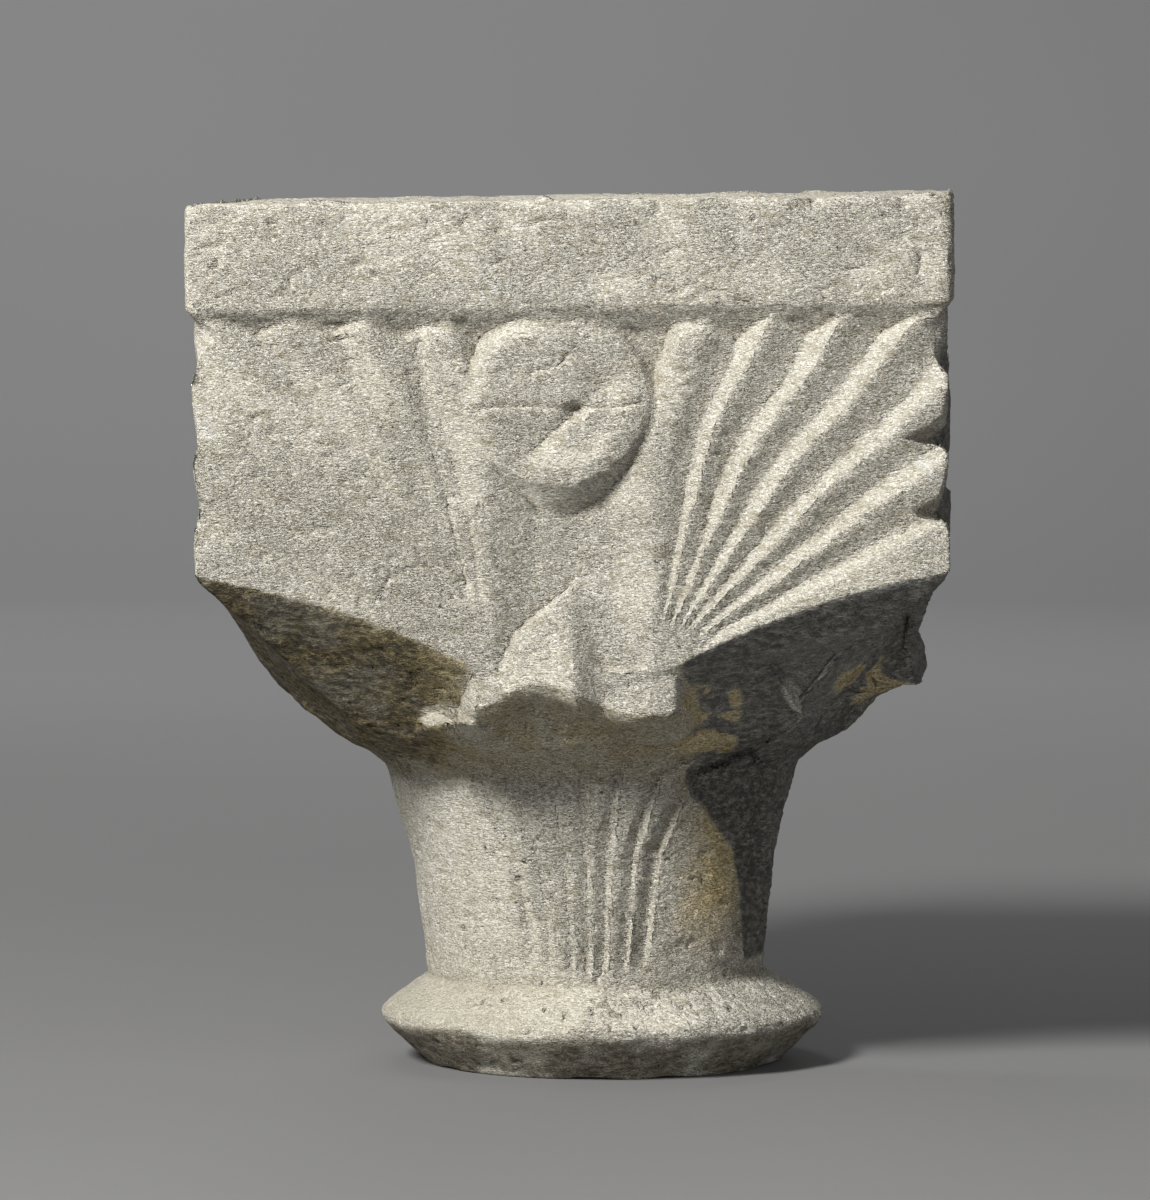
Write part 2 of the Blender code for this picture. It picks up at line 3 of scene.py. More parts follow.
import bpy
import numpy as np
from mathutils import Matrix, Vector


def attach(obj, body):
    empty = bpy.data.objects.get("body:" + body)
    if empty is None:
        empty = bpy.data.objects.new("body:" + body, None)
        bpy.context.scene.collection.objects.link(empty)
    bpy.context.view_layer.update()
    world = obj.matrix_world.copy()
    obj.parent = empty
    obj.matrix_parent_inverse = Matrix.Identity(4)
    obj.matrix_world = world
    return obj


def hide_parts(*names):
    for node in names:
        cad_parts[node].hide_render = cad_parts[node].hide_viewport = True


# Weathered sandstone capital. The stone repeats the imported solid's form with
# finer sections, then takes its wear, grain, pits, cracks, stains and painted shade.
# Metres, +Z up. Across a face u runs to the right, and w is the distance from the axis.

# Overall sizes
TOTAL_HEIGHT = 0.391
LEAN_DEGREES = 0.7
LEAN_FULL_RISE = 0.004

# Square slab at the top
ABACUS_WIDTH = 0.331
ABACUS_HEIGHT = 0.049
SLOPE_HEIGHT = 0.0115
SLOPE_DEPTH = 0.011
SLAB_EDGE_RADIUS = 0.0034
TOP_EDGE_SHARE = 0.9

# Round double bevel at the foot
FOOT_BED_RADIUS = 0.081
FOOT_RIM_RADIUS = 0.1017
FOOT_RIM_LOW = 0.0195
FOOT_RIM_HIGH = 0.0245
FOOT_HEIGHT = 0.041
FOOT_OFFSET = 0.0036

# Round neck, radius at each height
NECK_LOW_RADIUS = 0.077
NECK_MIDDLE_HEIGHT = 0.093
NECK_MIDDLE_RADIUS = 0.0834
NECK_HIGH_HEIGHT = 0.134
NECK_HIGH_RADIUS = 0.094
FLARE_BREAK_RISE = 0.0075
FLARE_LOW_SLOPE = 1.2
FLARE_HIGH_SLOPE = 2.3

# Block that carries the carving
BLOCK_WIDTH = 0.3265
CORNER_HEIGHT = 0.2265
BRACKET_HEIGHT = 0.153
BRACKET_REACH = 0.098
BRACKET_TURN = 0.27
BRACKET_ARCH = 0.0048
BRACKET_ARCH_START = 0.045

# Fan leaves, two on each face
FAN_ROOT_HEIGHT = 0.186
FAN_ROOT_SPREAD = 0.0345
FAN_HOLLOW_CURVE = 1.5
FAN_HOLLOW_RISE = 1.3
FAN_HOLLOW_LIMIT = 1.15
FAN_FIRST_RIDGE = 85.0
FAN_PITCH = 10.0
FAN_LAST_RIDGE = 25.0
FAN_BEND = 4.8
FAN_BEND_RANGE = (0.09, 0.152)
BEND_FROM_ANGLE = 28.0
BEND_FULL_ANGLE = 62.0
FAN_BEND_LEAST = 0.1
FLUTE_DEPTH = 0.0042
FLUTE_START_REACH = 0.012
FLUTE_FULL_REACH = 0.095
FLUTE_DEEPENING = 0.7
FLUTE_CREST_SHIFT = 0.1
FLUTE_SHIFT_RANGE = (0.07, 0.14)
FAN_TIP_GAP = 0.0055
FAN_TIP_NOTCH = 0.0085
TIP_NOTCH_CURVE = 1.5
TIP_NOTCH_LEAST = 0.4
FAN_TIP_SLOPE = 1.3
FIRST_TIP_DROP = 0.004
FAN_MARGIN = 4.5
FAN_INNER_SLOPE = 0.4
FAN_MARGIN_SLOPE = 1.6
TIP_NOTCH_DEPTH = 0.0034
TIP_NOTCH_REACH = 0.03

# Ground between the fans, behind their face, with a soft valley down its middle
GROUND_TOP_DEPTH = 0.0105
GROUND_LOW_DEPTH = 0.0065
VALLEY_DEPTH = 0.003
VALLEY_HALF_WIDTH = 0.03
VALLEY_LEVEL = 0.4

# V cuts in the upright corners, and the hollow corner under the slab
CORNER_CUT_REACH = 0.018
CORNER_CUT_DEPTH = 0.0115
CORNER_CUT_ABOVE = 0.0125
CORNER_CUT_BELOW = 0.003
CORNER_CUT_ANGLES = (41.5, 30.7)
RECESS_DEPTH = 0.006
RECESS_HEIGHT = 0.0165

# Four-petal boss between the fans, with the depth of its petals at each turn in degrees
BOSS_RADIUS = 0.0396
BOSS_FLATNESS = 1.08
BOSS_DROP = 0.039
BOSS_SET_BACK = 0.0015
BOSS_SIDE_SLOPE = 2.6
BOSS_TAIL_SLOPE = 0.95
BOSS_TAIL_CURVE = 3
BOSS_EDGE_ROUND = 0.0022
BOSS_EDGE_START = 0.8
BOSS_DISH = 0.0012
BOSS_DISH_RANGE = (0.55, 0.85)
PETAL_DEPTH = 0.0044
PETAL_TURNS = (0.0, 45.0, 70.0, 110.0, 150.0, 180.0, 224.0, 246.0, 300.0, 360.0)
PETAL_SHARES = (0.0, 1.0, 0.7, 0.42, 0.15, 0.05, 1.0, 0.25, 0.1, 0.0)
PETAL_START = 0.5
PETAL_RIM_FADE = 0.5
BOSS_EYE_RADIUS = 0.0066
BOSS_EYE_DEPTH = 0.005
BOSS_EYE_DROP = 0.0059
BOSS_EYE_FLATNESS = 1.45
BOSS_EYE_STEEPNESS = 1.6

# Folded leaf at the foot of each face. Below its lip each height is a share of the
# underside, paired with how far the stone draws in there.
LEAF_TIP_HEIGHT = 0.2225
LEAF_WIDEST_HEIGHT = 0.187
LEAF_LIP_HEIGHT = 0.166
LEAF_HALF_WIDTH = 0.044
UNDER_LEAF_HEIGHT = 0.018
UNDER_LEAF_PROFILE = ((1.0, 0.045), (0.72, 0.021), (0.35, 0.006))
LEAF_ROOT_SINK = 0.002
LEAF_HALFWAY_SWELL = 0.85
LEAF_WIDEST_SWELL = 0.6
LEAF_UPPER_SWELL = 0.3
LEAF_UPPER_SHARE = 0.4
LEAF_ARCH = 0.013
ARCH_HALF_WIDTH = 0.034
LEAF_LEFT_RISE = 0.004
LEAF_LEFT_RISE_RANGE = (0.005, 0.025)
LEAF_FOLD_DEPTH = 0.0085
FOLD_STEEP_WIDTH = 0.0095
FOLD_GENTLE_WIDTH = 0.021
LEAF_SIDE_FALL = 0.16
LEAF_SIDE_SLOPE = 2.6

# Broken stub that stands out below the left lobe of the leaf
STUB_SHIFT = -0.048
STUB_HEIGHT = 0.1605
STUB_HALF_WIDTH = 0.012
STUB_HALF_HEIGHT = 0.006
STUB_REACH = 0.141
STUB_FALL = 0.022
STUB_FLAT_SHARE = 0.6
STUB_LIMIT_SHARE = 2.5

# Stems that rise from the foot on each face
STEM_SPREAD_LOW = 17.0
STEM_SPREAD_MIDDLE = 21.5
STEM_SPREAD_HIGH = 30.0
STEM_SPREAD_ARCH = 42.0
STEM_MIDDLE_HEIGHT = 0.1
ARCH_RISE = 0.009
STEM_GROOVE_DEPTH = 0.0027
STEM_GROOVE_HALF_WIDTH = 0.0032
OUTER_GROOVE_DEPTH = 0.0036
OUTER_GROOVE_HALF_WIDTH = 0.0042
STEM_FADE_START = 0.002
STEM_FADE_END = 0.012
STEM_WEAR_BLEND = 7.0
STEM_LINES = (-0.67, -0.29, 0.0, 0.29, 0.67)

# What is left of the carving on each face, and how each face is hollowed
FACE_VALUES = (
    "left fan", "right fan", "boss", "left stems", "right stems", "left corner", "right corner",
    "hollow", "leaf reach", "leaf carving", "boss shift", "eye shift", "fold shift", "arch shift", "stub",
)
FRONT = (0.5, 1.0, 1.0, 0.35, 1.0, 0.15, 1.0, 0.015, 0.1575, 1.0, -0.0052, 0.0075, 0.012, -0.009, 1.0)
RIGHT = (0.85, 0.75, 0.8, 0.9, 0.7, 1.0, 0.7, 0.0195, 0.1555, 1.0, 0.0, 0.0, 0.0, 0.0, 0.0)
BACK = (0.6, 0.6, 0.7, 0.6, 0.6, 0.7, 0.5, 0.015, 0.1535, 0.8, 0.0, 0.0, 0.0, 0.0, 0.0)
LEFT = (0.6, 0.45, 0.7, 0.6, 0.4, 0.5, 0.15, 0.017, 0.1385, 0.25, 0.0, 0.0, 0.0, 0.0, 0.0)
FACES = tuple(dict(zip(FACE_VALUES, values)) for values in (FRONT, RIGHT, BACK, LEFT))

# Fineness: columns across each face, and the height step below each height
COLUMNS = (264, 180, 130, 150)
COLUMN_CROWDING = (0.03, 0.1, 0.14, 0.12)
STEP_BANDS = ((0.14, 0.00115), (0.172, 0.00065), (0.327, 0.00115), (0.344, 0.0007), (0.391, 0.0011))
CAP_RINGS = 26
CAP_CROWDING = 1.6
CORNER_STEPS = 60
SECTION_MARGIN = 0.004
SMALLEST = 1e-6
TRIANGLE_BUDGET = 190000
SMOOTH_PASSES = 30
NOISE_CELLS = 64
LAYER_FADE = 0.55

# Below, a pair is the range over which something sets in, or a spot's centre and half-width.
# A noise is its size, its seed and its layers. A region is a row for each value that bounds it:
# the value, where it starts, where it is full, and how far the rough noise shifts it.

# Cracks and cuts on the front: the points (u, z) of each, its half-width and its depth
FRONT_MARKS = (
    (((-0.0176, 0.315), (-0.0048, 0.3174), (0.0026, 0.3254)), 0.0016, 0.0012),
    (((-0.0392, 0.2994), (-0.018, 0.3004), (-0.004, 0.2985)), 0.0018, 0.0017),
    (((0.008, 0.3), (0.02, 0.2998), (0.0323, 0.3019)), 0.0018, 0.0017),
    (((0.0, 0.269), (0.001, 0.2745)), 0.003, 0.001),
    (((-0.0169, 0.3775), (-0.0082, 0.38), (0.004, 0.379), (0.0173, 0.3725)), 0.0014, 0.001),
    (((-0.1213, 0.2481), (-0.1041, 0.2479)), 0.0014, 0.0014),
    (((-0.0852, 0.2164), (-0.0787, 0.227), (-0.0636, 0.2324), (-0.0487, 0.2297), (-0.0445, 0.2202)),
     0.0016, 0.0013),
)

# Long groove of the worn left fan, at its foot and at its head
GROOVE_LINE = ((-0.0667, 0.3276), (-0.0608, 0.2847), (-0.0547, 0.2632), (-0.0507, 0.2417), (-0.0458, 0.2202))
GROOVE_GROWTH = (0.23, 0.3)
GROOVE_HALF_WIDTHS = (0.003, 0.0062)
GROOVE_DEPTHS = (0.0017, 0.0025)

# Where the carving stays crisp
CARVED = (("z", 0.155, 0.17), ("z", 0.336, 0.326))
FRONT_CRISPNESS = (0.25, 1.0)
FRONT_CRISP_FROM = (-0.055, -0.03)
SIDE_CRISPNESS = 0.35
LEAF_TIP = ((0.004, 0.02), (0.212, 0.024))
LEAF_TIP_WEAR = 0.9
CRISP_SPARED = 0.9

# Wear that rounds the form: a wide one in patches, then a narrow one
PATCH_NOISE = (0.03, 11)
PATCH_RANGE = (-0.1, 0.9)
WIDE_WEAR = (0.1, 0.9)
WIDE_WEAR_PASSES = 8
WIDE_WEAR_REACH = 3
NARROW_WEAR = (0.3, 0.8)
NARROW_WEAR_PASSES = 6

# Chips along the edges, deeper along the slab's top
EDGE_PASSES = 12
EDGE_RANGE = (0.0002, 0.0012)
TOP_EDGE = (0.375, 0.39)
CHIP_NOISE = (0.02, 15)
CHIP_RANGE = (0.0, 0.85)
CHIP_DEPTHS = (0.0026, 0.0072)
TOP_CHIPPING = 0.45

# Waves, dimples, flakes, grain and pits of the surface
WAVE_DEPTH = 0.00038
WAVE_NOISE = (0.045, 21, 2)
DIMPLE_DEPTH = 0.0004
DIMPLE_NOISE = (0.011, 31)
DIMPLE_SHARES = (0.4, 1.0)
BED_FLATNESS = 1.7
CRUMBLE_NOISE = (0.022, 45, 2)
CRUMBLE_RIGHT = 1.6
CRUMBLE_RANGE = (-0.5, 0.8)
CRUMBLE_SHARES = (0.35, 1.0)
FLAKE_DEPTH = 0.0005
FLAKE_NOISE = (0.005, 41)
GRAIN_DEPTH = 0.0004
GRAIN_NOISE = (0.0026, 51)
PIT_DEPTH = 0.0009
PIT_SHARES = (0.45, 1.0)
PITS = (((0.0075, 61), (0.55, 0.9)), ((0.004, 62), (0.6, 0.9)))
UPPER_BED_FACING = (0.8, 0.95)
UPPER_BED_WAVES = ((0.0013, (0.034, 93)), (0.0007, (0.011, 94)))
LOWER_BED_EDGE = (0.0, 0.0012)
DEEPEST_WEAR = 0.008

# Broken blocks under the right corner
BLOCK_SIZE = 0.046
BLOCK_SEED = 95
BLOCK_DEPTH = 0.0105
BLOCK_TILT = 0.7
BLOCK_LEVELS = (0.1, 0.9)
FRACTURE = (
    ("down", 0.15, 0.4), ("z", 0.142, 0.156), ("z", 0.236, 0.226),
    ("x", 0.05, 0.062), ("y", 0.13, 0.08), ("y", -0.142, -0.118),
)

# Noise that roughens the edges of the stains and of the painted shade
ROUGH_NOISE = (0.022, 71)
FINE_NOISE = (0.007, 81)

# Darker in hollows and paler on edges that stand out
CREVICE_RANGE = (0.0003, 0.0026)
CREVICE_ROUGHNESS = 0.00035
EXPOSED_RANGE = (0.0006, 0.003)
EXPOSED_ROUGHNESS = 0.0003

# Undersides of the corners, where facing down is roughened by the fine noise
UNDERSIDE = (("down", 0.28, 0.52), ("z", 0.125, 0.15), ("z", 0.234, 0.224))
UNDER_ROUGHNESS = 0.05

# Black crust: on the right face, under the right corner, and in an arch on the neck whose
# foot has a height at each turn in degrees
CRUST_FACE = (("u", -0.158, -0.145, -0.004), ("z", 0.345, 0.3))
ARCH_TURNS = (28.0, 32.0, 40.0, 50.0, 56.0, 61.0, 64.0)
ARCH_HEIGHTS = (0.14, 0.122, 0.114, 0.101, 0.081, 0.057, 0.04)
CRUST_NECK = (
    ("above arch", -0.004, 0.006, -0.003), ("turn", 28.0, 31.0), ("z", 0.044, 0.052), ("turn", 150.0, 125.0),
)
CRUST_NECK_TOP = 0.152
CRUST_UNDER = (("x", 0.042, 0.056, 0.006), ("y", 0.1, 0.04))

# Painted shade: a painted shadow in the arch, and painted shade under the left corner
PAINTED_SHADOW_ARCH_SHARE = 0.45
PAINTED_SHADOW_ARCH = (
    ("turn", 30.0, 35.0), ("turn", 72.0, 60.0), ("above arch", -0.003, 0.003), ("z", 0.158, 0.148),
)
PAINTED_SHADE_LEFT = (("x", -0.05, -0.075), ("y", 0.05, 0.0))

# Ochre on the neck and at the slab's corners, and bare spots among the crust where it shows:
# share, across, up and front
OCHRE_TURN = (45.0, 20.0)
OCHRE_ROUGHNESS = 3.0
OCHRE_NECK = (("z", 0.045, 0.08), ("z", 0.16, 0.125))
OCHRE_CORNERS = (("side", 0.15, 0.162, 0.006), ("z", 0.335, 0.345), ("rough", 0.0, 0.8))
CORNERS_SHARE = 0.45
FAR_SPOT = ((0.128, 0.026), (0.172, 0.018))
NEAR_SPOTS = ((1.4, (0.059, 0.017), (0.168, 0.014)), (1.2, (0.056, 0.018), (0.15, 0.009)))
NEAR_SPOTS_FRONT = (-0.02, -0.04)
RAGGED = (0.7, 1.1)
RAGGED_RANGE = (-0.5, 0.2)
BARE_OCHRE = 2.6
BARE_CLEARING = 2.2

# Brown patina on the foot's lower bevel, and smoke on the neck beside the crust
PATINA_FOOT = (("z", 0.0215, 0.0165, -0.003), ("patches", -1.3, -0.1))
PATINA_FINE_SHARE = 0.5
SMOKE_SHARE = 0.75
SMOKE = (("turn", 43.0, 60.0, 3.0), ("turn", 150.0, 125.0), ("z", 0.047, 0.06), ("z", 0.145, 0.12))

# Soot and painted shade under the front and the left corner, thinner in the middle and off the stub
SOOT_AND_SHADE_END = (0.09, 0.02)
SOOT_AND_SHADE_SHARES = (0.45, 1.0)
SOOT_AND_SHADE_FINE_SHARE = 0.8
SOOT_AND_SHADE_PATCHES = (-0.9, 0.1)
SOOT_AND_SHADE_LEFT = (-0.02, -0.07)
SOOT_AND_SHADE_MIDDLE = (0.62, 1.0)
STUB_CLEARING = 0.85
STUB_CLEARED = ((-0.047, 0.016), (0.158, 0.014))

# Painted shade on slopes that face up, at the left
UPWARD_PAINTED_SHADE = (("up", 0.12, 0.45), ("x", 0.02, -0.06), ("z", 0.235, 0.225))

# Pale scratches and a pale blemish on the front
SCRATCHES = (((-0.1635, 0.2979), (-0.1529, 0.2866)), ((0.1489, 0.2757), (0.1574, 0.267)))
SCRATCH_EDGE = (0.0003, 0.0016)
BLEMISH_PLACE = (-0.0313, 0.3507)
BLEMISH_EDGE = (0.0008, 0.0024)

# Where the grain stands out most: more to the right and on undersides
CRUMBLY_SHARES = (0.3, 1.0)
CRUMBLY_WEIGHTS = (0.6, 1.6, -0.8)
CRUMBLY_RANGE = (-0.7, 0.7)

# Textures of the stone: how flat they lie, and a scale, with the detail and roughness of a noise
BEDDING = 1.9
FLAKE_BEDDING = 1.7
STREWN_BEDDING = 1.5
STREWN_PUSH = (0.0075, 0.0075, 0.006)
STREWN_NOISE = (260.0, 0.0, 0.5)
BROAD_NOISE = (9.0, 1.0, 0.55)
MIDDLE_NOISE = (45.0, 3.0, 0.6)
SMALL_NOISE = (230.0, 3.0, 0.65)
FLAKES_NOISE = (470.0, 2.0, 0.7)
CHIP_SCALE = 150.0
GRAIN_SCALE = 820.0
FINE_SCALE = 1500.0
SHELL_SCALE = 190.0

# Colours. A tint is the texture that places it, the values where it starts and where it is
# full, its strength there and its colour.
STONE_TONES = ((0.64, 0.608, 0.518), (0.68, 0.652, 0.57))
STONE_TONE_RANGE = (0.35, 0.65)
STONE_TINTS = (
    ("middle", 0.42, 0.68, 0.2, (0.5, 0.46, 0.36)),
    ("small", 0.5, 0.72, 0.16, (0.44, 0.4, 0.3)),
    ("grain", 0.68, 1.0, 0.65, (0.28, 0.24, 0.155)),
    ("grain", 0.35, 0.0, 0.6, (0.86, 0.84, 0.77)),
    ("fine", 0.65, 1.0, 0.7, (0.26, 0.22, 0.145)),
    ("fine", 0.22, 0.0, 0.6, (0.9, 0.88, 0.81)),
    # dark flake streaks: painted shadows cast by the small flakes
    ("flakes", 0.58, 0.66, 0.62, (0.27, 0.23, 0.15)),
    ("chips", 0.1, 0.06, 0.4, (0.3, 0.26, 0.17)),
)
SHELL_EDGE = (0.2, 0.12)
SHELL_PATCHES = (0.5, 0.58)
SHELL_STRENGTH = 0.75
SHELL_COLOUR = (0.86, 0.85, 0.8)

# A plain overlay of colour is its mask, its strength and its colour
PLAIN_OVERLAYS = (
    # painted shade that darkens the slopes facing up at the left
    ("painted_shade_up_left", 0.5, (0.4, 0.37, 0.29)),
    ("exposed", 0.18, (0.68, 0.65, 0.55)),
)

# An overlay of colour is its mask, the texture that thins it, and two values of that with the
# strength at each. Tones are two values of the small noise with the colour at each.
CREVICE = ("crevice", "small", 0.3, 0.6, 0.18, 0.45)
CREVICE_COLOUR = (0.27, 0.23, 0.155)
# soot with painted shade, in browns, on the undersides
SOOT_AND_SHADE = ("soot_and_shade", "middle", 0.3, 0.62, 0.6, 0.95)
SOOT_AND_SHADE_TONES = (0.38, 0.66, (0.31, 0.235, 0.075), (0.6, 0.475, 0.21))
SOOT_AND_SHADE_TINTS = (
    ("grain", 0.55, 0.95, 0.6, (0.13, 0.095, 0.05)),
    ("grain", 0.25, 0.05, 0.6, (0.8, 0.68, 0.4)),
)
PATINA = ("patina", "middle", 0.32, 0.6, 0.75, 1.0)
PATINA_TONES = (0.4, 0.62, (0.15, 0.13, 0.092), (0.4, 0.355, 0.27))
OCHRE = ("ochre", "middle", 0.3, 0.6, 0.6, 1.0)
OCHRE_TONES = (0.35, 0.65, (0.56, 0.41, 0.155), (0.82, 0.7, 0.44))
OCHRE_TINTS = (("grain", 0.55, 0.95, 0.6, (0.18, 0.115, 0.04)),)
CRUST_FRAYING = (0.2, 0.8, -0.22, 0.22)
CRUST_RANGE = (0.3, 0.62)
CRUST_TONES = (0.42, 0.7, (0.13, 0.124, 0.112), (0.4, 0.38, 0.33))
CRUST_TINTS = (
    ("fine", 0.15, 0.0, 0.5, (0.44, 0.42, 0.36)),
    ("blocks", 0.25, 0.75, 0.22, (0.52, 0.51, 0.48)),
)
# painted shade, near black, in the arch and under the left corner
PAINTED_SHADE = ("painted_shade", "small", 0.4, 0.62, 0.8, 0.4)
PAINTED_SHADE_COLOUR = (0.022, 0.019, 0.014)
CHALK = ("chalk", "flakes", 0.35, 0.55, 0.35, 0.9)
CHALK_COLOUR = (0.86, 0.86, 0.84)

STONE_ROUGHNESS = (0.3, 0.7, 0.86, 0.98)
CRUST_ROUGHNESS = (0.3, 0.7, 0.48, 0.75)
STONE_SPECULAR = 0.35

# Relief too fine for the mesh
CHIP_TONES = (0.66, 0.7)
CHIP_SLOPE = (0.55, 0.2, 0.3)
FLAKE_STEP = (0.47, 0.55, 0.0, 0.35)
SMALL_RELIEF = 0.0036
CHIP_RELIEF = 0.0013
FLAKE_RELIEF = 0.0024
GRAIN_RELIEF = 0.00055

# Paper backdrop: a floor that sweeps up into a wall
PAPER_HALF_WIDTH = 6.0
PAPER_FRONT = -6.0
PAPER_BEND_START = 3.4
PAPER_BEND_RADIUS = 1.1
PAPER_BEND_STEPS = 12
PAPER_TOP = 5.0
PAPER_NOISE = (1.2, 2.0, 0.55)
PAPER_TONES = ((0.182, 0.182, 0.184), (0.19, 0.19, 0.191))
PAPER_TONE_RANGE = (0.3, 0.7)
PAPER_ROUGHNESS = 0.85

# Lights: name, place, target, size, power and colour, with places as seen from the camera
LIGHTS = (
    ("key", (-1.42, -2.24, 2.05), (0.0, 0.0, 0.2), 0.75, 160.0, (1.0, 0.99, 0.965)),
    ("fill", (0.6, -3.0, 0.5), (0.0, 0.0, 0.2), 1.5, 18.5, (0.98, 0.99, 1.0)),
    ("side", (2.6, -1.3, 1.1), (0.0, 0.0, 0.2), 1.4, 7.0, (0.98, 0.99, 1.0)),
    ("wall", (-0.7, 2.6, 2.7), (-0.2, 4.1, 0.5), 1.4, 66.0, (1.0, 1.0, 1.0)),
    ("back", (1.3, 2.7, 1.9), (0.0, 0.0, 0.2), 1.4, 9.0, (1.0, 0.99, 0.97)),
)
ROOM_COLOUR = (0.93, 0.96, 1.0, 1.0)
ROOM_STRENGTH = 0.075

# Camera at the photograph's place
CAMERA_TURN = 3.0
CAMERA_RISE = 3.48
CAMERA_DISTANCE = 3.3
CAMERA_LENS = 220.0
TARGET_HEIGHT = 0.207
TARGET_SHIFT = -0.0128
CAMERA_REACH = 60.0

HALF_SLAB = ABACUS_WIDTH / 2
HALF_BLOCK = BLOCK_WIDTH / 2
SLAB_UNDERSIDE = TOTAL_HEIGHT - ABACUS_HEIGHT
SLOPE_FOOT = SLAB_UNDERSIDE - SLOPE_HEIGHT
FAN_TIP_HEIGHT = SLAB_UNDERSIDE - FAN_TIP_GAP
BOSS_HEIGHT = SLAB_UNDERSIDE - BOSS_DROP


def rise(value, start, end):
    """Runs smoothly from 0 at start to 1 at end."""
    t = np.clip((value - start) / (end - start), 0.0, 1.0)
    return t * t * (3.0 - 2.0 * t)


def region(values, rows):
    """How far a place lies inside a region, from 0 to 1."""
    share = 1.0
    for row in rows:
        share = share * bounded(values, *row)
    return share


def bounded(values, name, start, full, shift=0.0):
    value = values[name] + shift * values["rough"] if shift else values[name]
    return rise(value, start, full)


def blend(first, last, share):
    """From first to last as share goes from 0 to 1."""
    return first + (last - first) * share


def bump_at(value, centre, half_width):
    """1 at centre, falling smoothly to 0 at half_width to either side."""
    return 1.0 - rise(np.abs(value - centre), 0.0, half_width)


def noise(points, size, seed):
    """Smooth random values from -1 to 1 that change over the given size."""
    table = np.random.default_rng(seed).uniform(-1.0, 1.0, (NOISE_CELLS,) * 3)
    cell = points / size
    low = np.floor(cell).astype(np.int64)
    part = cell - low
    part = part * part * (3.0 - 2.0 * part)
    total = np.zeros(points.shape[:-1])
    for step in np.ndindex(2, 2, 2):
        weight = np.ones(points.shape[:-1])
        index = []
        for axis in range(3):
            share = part[..., axis]
            weight = weight * (share if step[axis] else 1.0 - share)
            index.append((low[..., axis] + step[axis]) % NOISE_CELLS)
        total += weight * table[tuple(index)]
    return total


def layered_noise(points, size, seed, layers=3):
    """Noise with finer and fainter layers added."""
    total = np.zeros(points.shape[:-1])
    strength = 1.0
    for layer in range(layers):
        total += strength * noise(points, size / 2**layer, seed + layer)
        strength *= LAYER_FADE
    return total


def broken_blocks(points, size, seed):
    """Where stone broke off in blocks: a depth from 0 to 1 that tilts within each block, and its tone."""
    random = np.random.default_rng(seed)
    low = points.min(axis=0)
    span = points.max(axis=0) - low
    count = int(np.prod(span) / size**3)
    centres = low + span * random.random((count, 3))
    tilts = random.uniform(-BLOCK_TILT, BLOCK_TILT, (count, 3))
    levels = random.uniform(*BLOCK_LEVELS, count)
    nearest = np.full(len(points), np.inf)
    depth = np.zeros(len(points))
    tone = np.zeros(len(points))
    for centre, tilt, level in zip(centres, tilts, levels):
        gap = points - centre
        distance = np.sum(gap**2, axis=1)
        closer = distance < nearest
        nearest = np.where(closer, distance, nearest)
        depth = np.where(closer, level + gap @ tilt / size, depth)
        tone = np.where(closer, level, tone)
    return np.clip(depth, 0.0, 1.0), tone


def distance_to_line(u, z, points):
    """Distance from each (u, z) to the polyline through the points."""
    nearest = np.full(u.shape, 1.0)
    for (u0, z0), (u1, z1) in zip(points[:-1], points[1:]):
        along = ((u - u0) * (u1 - u0) + (z - z0) * (z1 - z0)) / ((u1 - u0) ** 2 + (z1 - z0) ** 2)
        along = np.clip(along, 0.0, 1.0)
        nearest = np.minimum(nearest, np.hypot(u - u0 - along * (u1 - u0), z - z0 - along * (z1 - z0)))
    return nearest


def neck_radius(z):
    """Radius of the foot and the neck, with the flare of the bell above it."""
    flare_break = NECK_HIGH_HEIGHT + FLARE_BREAK_RISE
    break_radius = NECK_HIGH_RADIUS + FLARE_BREAK_RISE * FLARE_LOW_SLOPE
    flare_top = flare_break + HALF_BLOCK / FLARE_HIGH_SLOPE
    points = (
        (0.0, FOOT_BED_RADIUS),
        (FOOT_RIM_LOW, FOOT_RIM_RADIUS),
        (FOOT_RIM_HIGH, FOOT_RIM_RADIUS),
        (FOOT_HEIGHT, NECK_LOW_RADIUS),
        (NECK_MIDDLE_HEIGHT, NECK_MIDDLE_RADIUS),
        (NECK_HIGH_HEIGHT, NECK_HIGH_RADIUS),
        (flare_break, break_radius),
        (flare_top, break_radius + HALF_BLOCK),
    )
    return np.interp(z, [height for height, _ in points], [radius for _, radius in points])


def stem_spread(z):
    """Half the angle that the bundle of stems takes up around the neck."""
    heights = (FOOT_HEIGHT, STEM_MIDDLE_HEIGHT, NECK_HIGH_HEIGHT, NECK_HIGH_HEIGHT + ARCH_RISE)
    return np.interp(z, heights, (STEM_SPREAD_LOW, STEM_SPREAD_MIDDLE, STEM_SPREAD_HIGH, STEM_SPREAD_ARCH))


def groove(away, half_width, depth):
    """Depth of a V groove at a distance from its line."""
    return depth * np.clip(1.0 - away / half_width, 0.0, 1.0)


